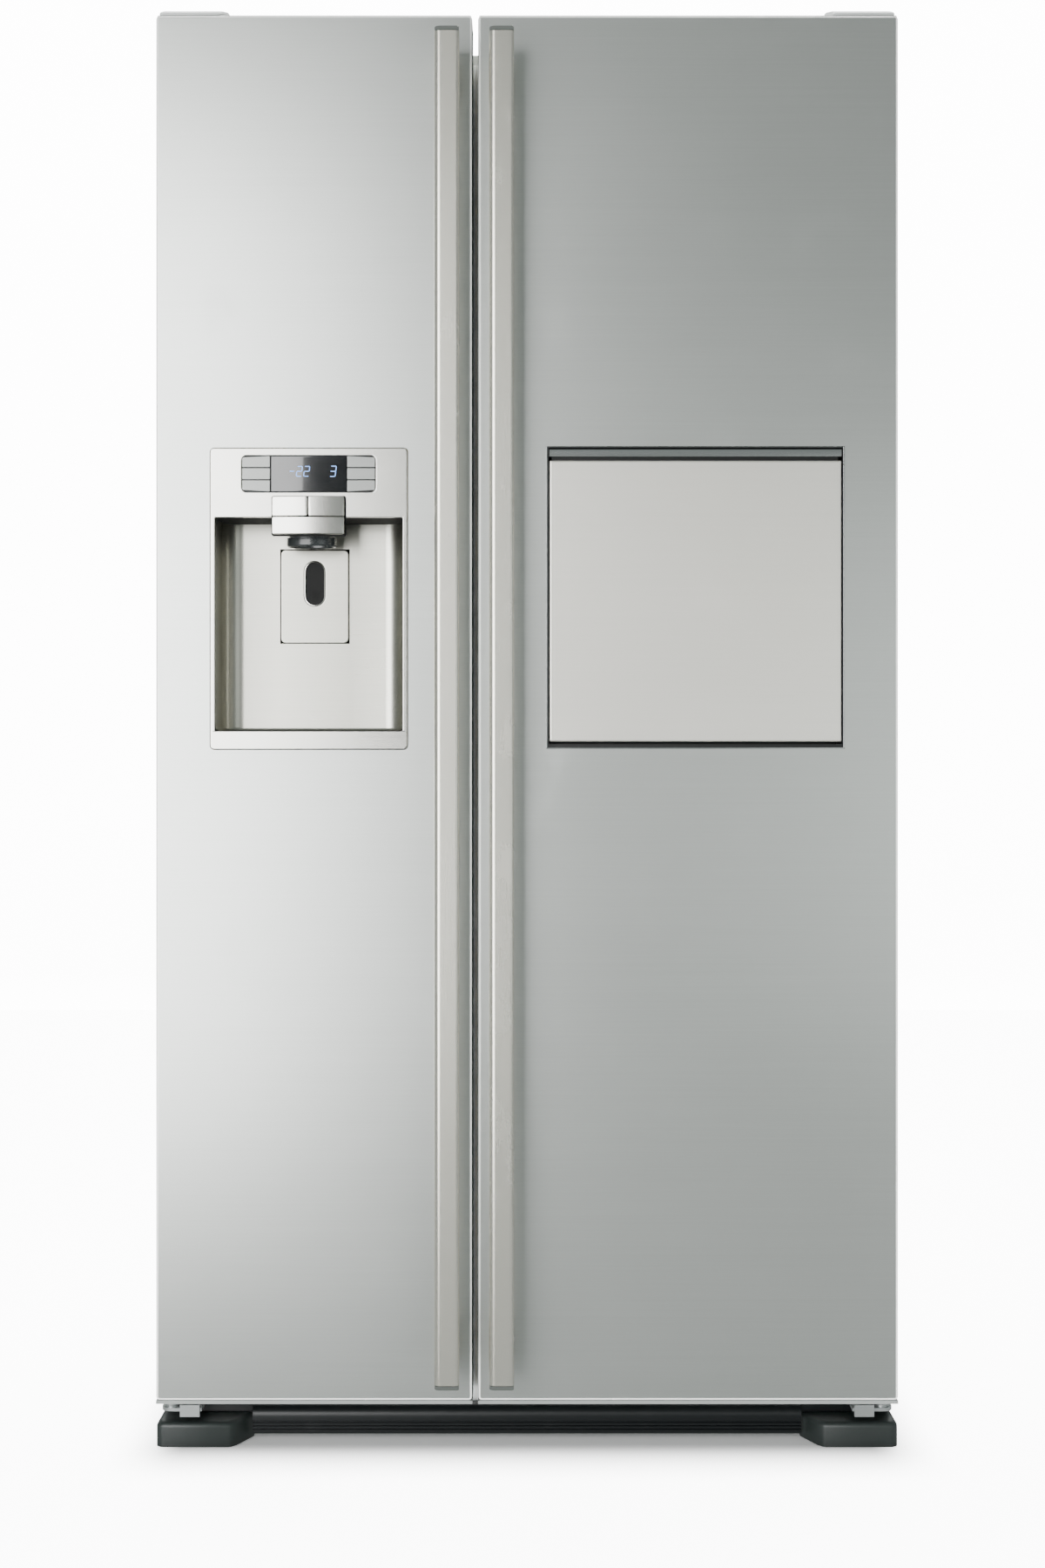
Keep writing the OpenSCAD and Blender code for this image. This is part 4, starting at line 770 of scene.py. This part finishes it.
funnel_y = button_y0 + 0.050
funnel_top = cover_z0 - 0.0004
funnel_r = 0.031
funnel_squash = 0.62
rim_r = 0.0022
funnel_plastic = moulded_plastic("funnel_plastic", shade(34, 37, 38), 0.30, Coat_Weight=0.4)
ring_steel = brushed_metal("throat_ring", shade(170, 170, 166), 0.3, 0, 0.3)


def turned(name, profile, centre, squash, parts=64):
    """Profile of (radius, height) pairs turned about the upright axis through centre, squashed along Y."""
    turn = np.linspace(0.0, 2 * np.pi, parts, endpoint=False)
    radius, height = np.array(profile).T
    x, y = np.outer(radius, np.cos(turn)), squash * np.outer(radius, np.sin(turn))
    grid = np.stack([x, y, np.repeat(height[:, None], parts, 1)], -1) + centre
    return grid_mesh(name, grid, close_u=True, close_v=True)


funnel_place = (middle, funnel_y, funnel_top)
bead = [(funnel_r - rim_r + rim_r * np.cos(t), -0.0085 + rim_r * np.sin(t))
        for t in np.linspace(0.0, -np.pi, 9)]
profile = [(funnel_r, 0.0)] + bead + [(0.024, -0.001), (0.021, 0.0), (0.021, 0.004)]
mesh = turned("chute_funnel", profile, funnel_place, funnel_squash)
finished("chute_funnel", mesh, "freezer_door", [], "dark_plastic", funnel_plastic)
profile = [(0.0145, -0.0036), (0.0135, -0.0042), (0.0120, -0.0040), (0.0120, -0.0010), (0.0145, -0.0010)]
mesh = turned("throat_ring", profile, funnel_place, funnel_squash)
finished("throat_ring", mesh, "freezer_door", [], "bright_steel", ring_steel)
for k, angle in enumerate((0.5, 1.6, 2.7)):
    way = np.array([np.cos(angle), -funnel_squash * np.sin(angle)])
    side = np.array([-way[1], way[0]]) / np.hypot(*way) * 0.0006
    near, far = funnel_place[:2] + way * 0.0130, funnel_place[:2] + way * 0.0265
    ring = np.array([near - side, far - side, far + side, near + side])
    rings = stack([ring, ring], [funnel_top - 0.0050, funnel_top - 0.0010], 2)
    solid(f"funnel_rib_{k}", rings, "freezer_door", [], "dark_plastic", funnel_plastic)


# ---------------------------------------------------------------- Dispenser lever
# A stamped steel paddle in a shallow pocket, hung from a pin behind its upper edge, in the niche's darker
# steel. A stadium slot with a raised rim takes the push of a glass; the near-black plate behind it is
# painted shade in the hole.

pad_low = (middle - paddle_w / 2, paddle_low[2])
pad_high = (middle + paddle_w / 2, paddle_high[2])
pad_y0 = paddle_low[1]
slot_r, slot_length = 0.0132, 0.057
slot_top = pad_high[1] - 0.014
slot_low = np.array([middle - slot_r, slot_top - slot_length])
slot_high = np.array([middle + slot_r, slot_top])
slot_corner = slot_r - 0.00005
slot_hole = (slot_low, slot_high, slot_corner)
mesh = cut_plate("lever_pad", (pad_low, pad_high, 0.0060), [slot_hole], pad_y0, pad_y0 + 0.003, 0.0007)
finished("lever_pad", mesh, "lever_pad", ["dispenser_lever"], "bright_steel", shaded_niche_steel)
collar_end = pad_y0 + 0.0022
collar = [outline(slot_low + g, slot_high - g, slot_corner - g)
          for g in (0.0, 0.0003, 0.0012, 0.0016, 0.0016, 0.0)]
levels = [pad_y0 + 0.002, pad_y0 - 0.0004, pad_y0 - 0.0006, pad_y0, collar_end, collar_end]
mesh = grid_mesh("slot_collar", stack(collar, levels, 1), close_u=True, close_v=True)
finished("slot_collar", mesh, "lever_pad", [], "bright_steel", bright_steel)
ring = outline(slot_low - 0.001, slot_high + 0.001, slot_r)
rings = stack([ring, ring], [collar_end, pad_y0 + 0.0045], 1)
solid("slot_back", rings, "lever_pad", [], "dark_plastic", gap_shade_black)


# ---------------------------------------------------------------- Home bar
# A black frame lines the cut-out of the fridge door, with a white case behind it. The flap
# is a flat steel panel with a white tray on its back, hinged at the foot, under a bright
# grip rail.

core_low, core_high = np.array(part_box("flap_core"))
frame_plastic = moulded_plastic("bar_frame_plastic", shade(18, 20, 20), 0.42)
white_plastic = moulded_plastic("white_liner", shade(236, 238, 237), 0.30, 0.03)
panel_steel = brushed_metal("flap_steel", shade(244, 241, 232), 0.36, 0, 0.3, 0.8)
rail_metal = brushed_metal("rail_metal", shade(214, 216, 216), 0.20, 0, 0.5)
panel_low, panel_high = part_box("flap_panel")
rail_low, rail_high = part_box("flap_rail")
flap_x0, flap_x1 = rail_low[0], rail_high[0]
rings = pad((flap_x0, panel_low[2]), (flap_x1, panel_high[2]), 0.0016, panel_low[1], panel_high[1], 0.0022)
solid("flap_front", rings, "home_bar_flap", ["flap_panel"], "bright_steel", panel_steel)

# The grip rail: a quarter circle at its upper front edge and a small chamfer at its lower one.
rail_h, rail_r, rail_chamfer = 0.0097, 0.0030, 0.0008
rail_turn = np.linspace(0.0, np.pi / 2, 8)
z0, z1, y0, y1 = rail_high[2] - rail_h, rail_high[2], rail_low[1], rail_high[1]
rail_ring = [(y0 + rail_r * (1 - np.sin(t)), z1 - rail_r * (1 - np.cos(t))) for t in rail_turn]
rail_ring += [(y0, z0 + rail_chamfer), (y0 + rail_chamfer, z0), (y1, z0), (y1, z1)]
rings = stack([rail_ring] * 2, [flap_x0, flap_x1], 0)
solid("grip_rail", rings, "home_bar_flap", ["flap_rail"], "bright_steel", rail_metal)
groove = outline((flap_x0 + 0.003, panel_high[2] - 0.002), (flap_x1 - 0.003, z0 + 0.001), 0.0002)
rings = stack([groove, groove], [y0 + 0.0085, y1], 1)
solid("finger_groove", rings, "home_bar_flap", [], "dark_plastic", frame_plastic)

# The frame is stepped: the flap shuts in its wide opening, against the edge of its pocket.
frame_in, pocket_in, case_wall = 0.003, 0.016, 0.003
frame_low, frame_high = np.array([bar_low[0], bar_low[2]]), np.array([bar_high[0], bar_high[2]])
pocket_low, pocket_high = frame_low + (pocket_in, pocket_in + 0.004), frame_high - pocket_in
frame_edge = (frame_low, frame_high)
pocket_edge = (pocket_low, pocket_high)
opening_edge = (frame_low + (frame_in, 0.0058), frame_high - (frame_in, 0.002))
step_y = core_high[1] + 0.0003
door_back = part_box("freezer_door_skin")[1][1]
frame_back = door_back + 0.002
rings = [outline(*edge, 0.0012)
         for edge in (frame_edge, frame_edge, pocket_edge, pocket_edge, opening_edge, opening_edge)]
levels = [bar_low[1], frame_back, frame_back, step_y, step_y, bar_low[1]]
mesh = grid_mesh("bar_frame", stack(rings, levels, 1), close_u=True, close_v=True)
finished("bar_frame", mesh, "fridge_door", ["home_bar_frame"], "dark_plastic", frame_plastic)

# The case: rings come forward along its inside, turn over its front edge and go back outside.
case_low, case_high = pocket_low - case_wall, pocket_high + case_wall
case_front, case_back = frame_back + 0.0002, bar_high[1]
rings = [outline(pocket_low + g, pocket_high - g, 0.020) for g in (0.012, 0.0035, 0.001, 0.0, 0.0)]
rings += [outline(case_low + g, case_high - g, 0.022) for g in (0.0, 0.0, 0.001, 0.004, 0.014)]
levels = [case_back - case_wall, case_back - case_wall, case_back - 0.008, case_back - 0.014, case_front]
levels += [case_front, case_back - 0.012, case_back - 0.005, case_back, case_back]
solid("bar_case", stack(rings, levels, 1), "fridge_door", [], "white_plastic", white_plastic)

# The tray: rings go back round its outside and over its rim, then down into its well.
tray_well, tray_rim = 0.0045, 0.014
tray_low, tray_high, tray_y = core_low[[0, 2]], core_high[[0, 2]], core_high[1]
insets = [0.0, 0.0, 0.0006, 0.002, tray_rim, tray_rim + 0.0014, tray_rim + 0.003]
rings = [outline(tray_low + g, tray_high - g, max(0.010 - 0.3 * g, 0.004)) for g in insets]
levels = [core_low[1], tray_y - 0.002, tray_y - 0.0006, tray_y, tray_y, tray_y - 0.001, tray_y - tray_well]
solid("flap_tray", stack(rings, levels, 1), "home_bar_flap", ["flap_core"], "white_plastic", white_plastic)

# Four bright lines frame the opening.
rim_proud, rim_w = 0.0006, 0.0016
(bar_x0, bar_z0), (bar_x1, bar_z1) = frame_low, frame_high
for name, low, high in (("bar_rim_left", frame_low, (bar_x0 + rim_w, bar_z1)),
                        ("bar_rim_right", (bar_x1 - rim_w, bar_z0), frame_high),
                        ("bar_rim_foot", frame_low, (bar_x1, bar_z0 + rim_w)),
                        ("bar_rim_top", (bar_x0, bar_z1 - 0.0012), frame_high)):
    rings = pad(low, high, 0.0003, bar_low[1] - rim_proud, bar_low[1] + 0.002, 0.0003)
    solid(name, rings, "fridge_door", [], "bright_steel", rail_metal)


# ---------------------------------------------------------------- Foot covers
# Two dark grey moulded shells that hide the levelling feet. Each has a softly rolled
# top edge and tapers inwards at its inner end, where it meets the kick plate.

foot_plastic = moulded_plastic("foot_plastic", shade(38, 43, 42), 0.42)
foot_low, foot_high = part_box("foot_covers")
kick_low, kick_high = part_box("kick_plate")


def foot_ring(inset):
    """Outline of the right foot cover from above: round outer corner, square nose, slanting inner end."""
    x1, y0, y1 = foot_high[0] - inset, foot_low[1] + inset, foot_high[1]
    inner, slant = foot_high[0] - 0.095 + inset, 0.020
    r = 0.010 - inset * 0.5
    turn = np.linspace(-np.pi / 2, 0.0, 9)
    corner = np.stack([x1 - r + r * np.cos(turn), y0 + r + r * np.sin(turn)], -1)
    bend = 0.006
    rest = np.array([[x1, y1], [inner - slant, y1], [inner - slant, y1 - 0.012],
                     [inner - bend * 0.5, y0 + bend * 1.2], [inner + bend * 0.4, y0 + bend * 0.3],
                     [inner + bend, y0]])
    return np.concatenate([corner, rest])


top_roll = 0.0060
turn = np.linspace(0.0, np.pi / 2, 7)
rings = [foot_ring(0.0)] + [foot_ring(top_roll * (1.0 - np.cos(t))) for t in turn]
levels = [foot_low[2]] + [foot_high[2] - top_roll * (1.0 - np.sin(t)) for t in turn]
right_foot = stack(rings, levels, 2)
for name, sign in (("right_foot_cover", 1.0), ("left_foot_cover", -1.0)):
    solid(name, right_foot * (sign, 1.0, 1.0), "root", ["foot_covers"], "dark_plastic", foot_plastic,
          sharp=50.0)


# ---------------------------------------------------------------- Kick plate
# A dark moulded grille between the foot covers: a rolled upper edge, a shallow step and three level grooves
# along its face. A short dark strip closes the gap over each foot cover and stands there as painted shade
# under the cabinet.

kick_plastic = moulded_plastic("kick_plastic", shade(14, 18, 20), 0.38)
roll, kick_sheet = 0.012, 0.003
grooves, groove_step, land_y, groove_y = 3, 0.0042, 0.0002, 0.0022
turn = np.linspace(0.0, np.pi / 2, 9)
y0, y1, z0, z1 = kick_low[1], kick_high[1], kick_low[2], kick_high[2]
profile = [(y0 + 0.003, z0)]
for k in range(grooves):
    foot = z0 + 0.003 + k * groove_step
    profile += [(y0 + land_y, foot), (y0 + land_y, foot + 0.0026)]
    profile += [(y0 + groove_y, foot + 0.0030), (y0 + groove_y, foot + 0.0040)]
profile += [(y0, z0 + 0.0165)]
profile += [(y0 + roll - roll * np.cos(t), z1 - roll + roll * np.sin(t)) for t in turn]
profile += [(y1, z1), (y1, z1 - kick_sheet), (y0 + roll, z1 - kick_sheet), (y0 + 0.005, z1 - roll),
            (y0 + 0.005, z0)]
rings = stack([profile] * 2, [kick_low[0], kick_high[0]], 0)
solid("kick_grille", rings, "root", ["kick_plate"], "dark_plastic", kick_plastic, sharp=40.0)

# The dark strips over the foot covers are painted shade under the cabinet.
strip_low = (kick_high[0] + 0.0006, foot_high[2] + 0.0004)
strip_high = (foot_high[0] - 0.005, kick_high[2] + 0.0016)
rings = pad(strip_low, strip_high, 0.002, y1 - 0.012, y1 - 0.009, 0.0008)
for name, sign in (("right_closing_strip", 1.0), ("left_closing_strip", -1.0)):
    solid(name, rings * (sign, 1.0, 1.0), "root", [], "dark_plastic", kick_plastic)


# ---------------------------------------------------------------- Hinges and feet
# Zinc-plated pressed brackets carry the doors at the foot and at the head, with turned
# pins and two screws in each lower one. Feet, base frame, back sheet and the cover of
# the compressor room are zinc-plated too.


def dress(material, *names):
    """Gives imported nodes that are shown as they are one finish."""
    for name in names:
        nodes[name].data.materials.clear()
        nodes[name].data.materials.append(material)


zinc = brushed_metal("zinc_plate", shade(186, 190, 190), 0.36, 1, 0.6, 0.85)
dress(zinc, "top_hinges", "bottom_hinges", "levelling_legs", "base_frame", "rear_panel", "compressor_cover")
pin_x, pin_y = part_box("bottom_hinges")[1][0] - 0.012, door_front + 0.024
screw_y, screw_z = pin_y + 0.016, 0.048
screw_head = [(0.0002, 0.0026), (0.0018, 0.0026), (0.0036, 0.0018), (0.0044, 0.0002), (0.0044, -0.0005),
              (0.0002, -0.0005)]
for tag, side in (("left", -1.0), ("right", 1.0)):
    for k, inward in enumerate((0.030, 0.012)):
        name = f"{tag}_hinge_screw_{k}"
        mesh = turned(name, screw_head, (side * (pin_x - inward), screw_y, screw_z), 1.0, 24)
        finished(name, mesh, "root", [], "zinc_steel", zinc)


# ---------------------------------------------------------------- Cabinet
# The body is folded sheet steel in light grey enamel. White vacuum-formed liners fill it,
# with foam between, and small moulded covers hide the upper hinges.

case_enamel = moulded_plastic("case_enamel", shade(176, 180, 178), 0.34, 0.03, Coat_Weight=0.25,
                              Coat_Roughness=0.3)
cover_plastic = moulded_plastic("hinge_cover_plastic", shade(205, 208, 206), 0.38, 0.04)
foam = Finish("insulating_foam", shade(226, 205, 140), 0.9)
cells = foam.node("ShaderNodeTexVoronoi", None, foam.node("ShaderNodeTexCoord", out=3), Scale=420.0)
foam.feed("Base Color",
          foam.blend(foam.noise((20.0, 20.0, 20.0)), shade(214, 190, 124), shade(238, 220, 160)))
foam.bump(cells, 0.4, 0.001)


# Side view of a hinge cover: over the door from its front edge, up onto the case, and down
# behind.
low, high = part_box("hinge_covers")
door_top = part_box("freezer_door_skin")[1][2]
case_y, case_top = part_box("outer_case")[0][1] + 0.001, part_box("outer_case")[1][2] + 0.0002
over_door, cover_chamfer = door_top + 0.0014, 0.010
cover_profile = np.array([(low[1], over_door), (low[1], door_top + 0.0062),
                          (low[1] + 0.026, door_top + 0.0172), (case_y + 0.017, high[2]),
                          (high[1] - cover_chamfer, high[2]), (high[1], high[2] - cover_chamfer),
                          (high[1], case_top), (case_y, case_top), (case_y, over_door)])


def rounded(points, radius, steps=5):
    """Closed outline whose corners are cut at radius along both sides and bent by a quadratic curve."""
    made = []
    for before, corner, after in zip(np.roll(points, 1, 0), points, np.roll(points, -1, 0)):
        a, b = before - corner, after - corner
        reach = [min(radius, 0.45 * np.hypot(*side)) / np.hypot(*side) for side in (a, b)]
        start, end = corner + a * reach[0], corner + b * reach[1]
        t = np.linspace(0.0, 1.0, steps)[:, None]
        made.append((1 - t) ** 2 * start + 2 * t * (1 - t) * corner + t ** 2 * end)
    return np.concatenate(made)


def shrunk(ring, gap):
    """Moves every point of a closed outline inwards by gap along its own normal."""
    along = np.roll(ring, -1, 0) - np.roll(ring, 1, 0)
    normal = np.stack([-along[:, 1], along[:, 0]], -1) / np.maximum(np.hypot(*along.T)[:, None], 1e-9)
    area = np.sum(ring[:, 0] * np.roll(ring[:, 1], -1) - np.roll(ring[:, 0], -1) * ring[:, 1])
    return ring + normal * gap * np.sign(area)


cover_ring = rounded(cover_profile, 0.006)
soft, cover_w = 0.0025, 0.075
turn = np.linspace(0.0, np.pi / 2, 5)
insets = [soft * (1 - np.sin(t)) for t in turn]
steps = [soft * (1 - np.cos(t)) for t in turn]
rings = [shrunk(cover_ring, i) for i in insets + insets[::-1]]
levels = [high[0] - cover_w + s for s in steps] + [high[0] - s for s in steps[::-1]]
right_cover = stack(rings, levels, 0)
for name, sign in (("right_hinge_cover", 1.0), ("left_hinge_cover", -1.0)):
    solid(name, right_cover * (sign, 1.0, 1.0), "root", ["hinge_covers"], "cover_plastic", cover_plastic)

dress(case_enamel, "outer_case")
dress(white_plastic, "freezer_liner", "fridge_liner", "freezer_door_liner", "fridge_door_liner",
      "evaporator_cover", "ice_maker", "ice_bucket")
dress(foam.material, "cabinet_foam", "freezer_door_foam", "fridge_door_foam")
dress(dark_grey_and_edge_shade, "evaporator_fan", "condenser_fan", "cord_inlet")
dress(moulded_plastic("door_cap_plastic", shade(128, 132, 130), 0.45), "freezer_door_caps",
      "fridge_door_caps")
dress(funnel_plastic, "ice_chute")


# ---------------------------------------------------------------- Door gaskets
# Soft white magnetic seals run round the back of both doors: a folded bellows foot and a
# flat magnet tube, welded at mitred corners.

gasket_rubber = moulded_plastic("gasket_rubber", shade(196, 200, 198), 0.55, 0.05)

# Cross-section as shares of width and depth: the foot, then the inner folds, the magnet
# tube, and the outer folds back to the foot.
seal_shape = [(0.0, 0.0), (1.0, 0.0), (1.0, 0.16), (0.72, 0.24), (0.70, 0.34), (0.94, 0.44), (0.94, 0.56),
              (0.80, 0.64), (1.0, 0.72), (1.0, 1.0), (0.0, 1.0), (0.0, 0.72), (0.14, 0.64), (0.05, 0.54),
              (0.05, 0.44), (0.26, 0.34), (0.26, 0.24), (0.0, 0.16)]
for name, body in (("freezer_gasket", "freezer_door"), ("fridge_gasket", "fridge_door")):
    low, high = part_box(name)
    depth, width = high[1] - low[1], 0.014
    section = np.array(seal_shape) * (width, depth)
    rings = [outline((low[0] + s, low[2] + s), (high[0] - s, high[2] - s), 0.0012 + 0.3 * (width - s), 3)
             for s in section[:, 0]]
    grid = stack(rings, low[1] + section[:, 1], 1)
    mesh = grid_mesh(name + "_seal", grid, close_u=True, close_v=True)
    finished(name + "_seal", mesh, body, [name], "gasket_rubber", gasket_rubber, sharp=50.0)


# ---------------------------------------------------------------- Shelves, bins and drawers
# Clear moulded bins hang in the doors, and clear drawers slide under toughened glass
# shelves whose edges carry white trims. Bins carry a white band and drawers a white grip.

clear_plastic = Finish("clear_plastic", shade(225, 234, 238), 0.10, Transmission_Weight=0.85, IOR=1.35)
clear_plastic.feed("Roughness", 0.07 + clear_plastic.noise((30.0, 30.0, 30.0)) * 0.10)
clear_plastic.bump(clear_plastic.noise((120.0, 120.0, 120.0)), 0.05, 0.0003)
shelf_glass = Finish("shelf_glass", shade(214, 236, 228), 0.03, Transmission_Weight=0.92, IOR=1.45)
shelf_glass.feed("Roughness", 0.02 + shelf_glass.noise((12.0, 12.0, 12.0)) * 0.05)


def solid_boxes(name):
    """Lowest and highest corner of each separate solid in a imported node, from the floor upwards."""
    work = bmesh.new()
    work.from_mesh(nodes[name].data)
    bmesh.ops.remove_doubles(work, verts=work.verts, dist=1e-6)
    left, found = set(work.verts), []
    while left:
        island, front = set(), [left.pop()]
        while front:
            vert = front.pop()
            island.add(vert)
            fresh = {e.other_vert(vert) for e in vert.link_edges} & left
            left -= fresh
            front.extend(fresh)
        points = np.array([v.co for v in island])
        found.append((points.min(0), points.max(0)))
    work.free()
    return sorted(found, key=lambda box: box[0][2])


def open_tub(name, low, high, wall, corner, taper, body, replaced, rim=0.0035):
    """Open box with round corners that narrows towards its foot, under a rolled rim.

    Rings climb the inside from the floor, turn over the rim and run down the outside.
    """
    depth = high[2] - low[2]
    inside = [(wall + taper + 0.008, wall), (wall + taper + 0.002, wall + 0.002),
              (wall + taper, wall + 0.009), (wall + 0.001, depth - 0.004)]
    over = [(wall, depth - 0.001), (wall * 0.6, depth), (0.0006, depth), (0.0, depth - 0.001),
            (0.0, depth - rim)]
    outside = [(0.0009, depth - rim - 0.0006), (taper, 0.010), (taper + 0.003, 0.002), (taper + 0.009, 0.0)]
    steps = inside + over + outside
    rings = [outline(low[:2] + g, high[:2] - g, max(corner - 0.4 * g, 0.002), 8) for g, _ in steps]
    return solid(name, stack(rings, [low[2] + h for _, h in steps], 2), body, replaced, "clear_plastic",
                 clear_plastic.material, sharp=60.0)


tub_wall = 0.0025
for name, body in (("freezer_door_bins", "freezer_door"), ("fridge_door_bins", "fridge_door")):
    for k, (low, high) in enumerate(solid_boxes(name)):
        tag = name.replace("door_bins", "bin") + f"_{k}"
        open_tub(tag, low, high, tub_wall, 0.016, 0.003, body, [name])
        band = outline((low[0] + 0.018, high[2] - 0.024), (high[0] - 0.018, high[2] - 0.010), 0.003)
        rings = stack([band, band], [high[1] - 0.0010, high[1] - 0.0002], 1)
        solid(tag + "_band", rings, body, [], "white_plastic", white_plastic)
front_t, grip_h = 0.004, 0.030
for name, body in (("upper_crisper", "upper_crisper_box"), ("lower_crisper", "lower_crisper_box"),
                   ("freezer_drawer", "freezer_drawer_box")):
    low, high = np.array(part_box(name))
    open_tub(name + "_tub", low + (0.0, front_t, 0.0), high, tub_wall, 0.012, 0.0, body, [name])
    front_low = (low[0] + 0.0002, low[2] + 0.0008)
    front_high = (high[0] - 0.0002, high[2] - grip_h - 0.0002)
    y0, y1 = low[1], low[1] + front_t - 0.0001
    rings = pad(front_low, front_high, 0.008, y0 + 0.001, y1, 0.0012)
    solid(name + "_front", rings, body, [], "clear_plastic", clear_plastic.material)
    grip_z, top = high[2] - grip_h, high[2] - 0.0008
    grip = [(y1, grip_z), (y0 + 0.0004, grip_z + 0.002), (y0, grip_z + 0.008),
            (y0 + 0.0004, high[2] - 0.004), (y0 + 0.003, top), (y1, top)]
    solid(name + "_grip", stack([grip] * 2, [low[0] + 0.0004, high[0] - 0.0004], 0), body, [],
          "white_plastic", white_plastic)
dress(shelf_glass.material, "shelf_glasses")
trim_plastic = moulded_plastic("trim_plastic", shade(224, 228, 228), 0.28, 0.03)
dress(trim_plastic, "shelf_trims")


# ---------------------------------------------------------------- Cooling circuit
# Metal coils and a black enamelled compressor cool the cabinet. A metal auger moves the
# ice in its bucket, and moulded rollers carry the weight at the back.

coil_metal = brushed_metal("coil_metal", shade(186, 176, 164), 0.35, 2, 0.8)
compressor_paint = moulded_plastic("compressor_paint", shade(22, 23, 24), 0.32, 0.06, Coat_Weight=0.5)
auger_metal = brushed_metal("auger_metal", shade(192, 192, 188), 0.3, 1, 0.7)
roller_plastic = moulded_plastic("roller_plastic", shade(58, 60, 60), 0.5)
dress(coil_metal, "evaporator", "condenser")
dress(compressor_paint, "compressor")
dress(auger_metal, "ice_auger")
dress(roller_plastic, "rear_rollers")
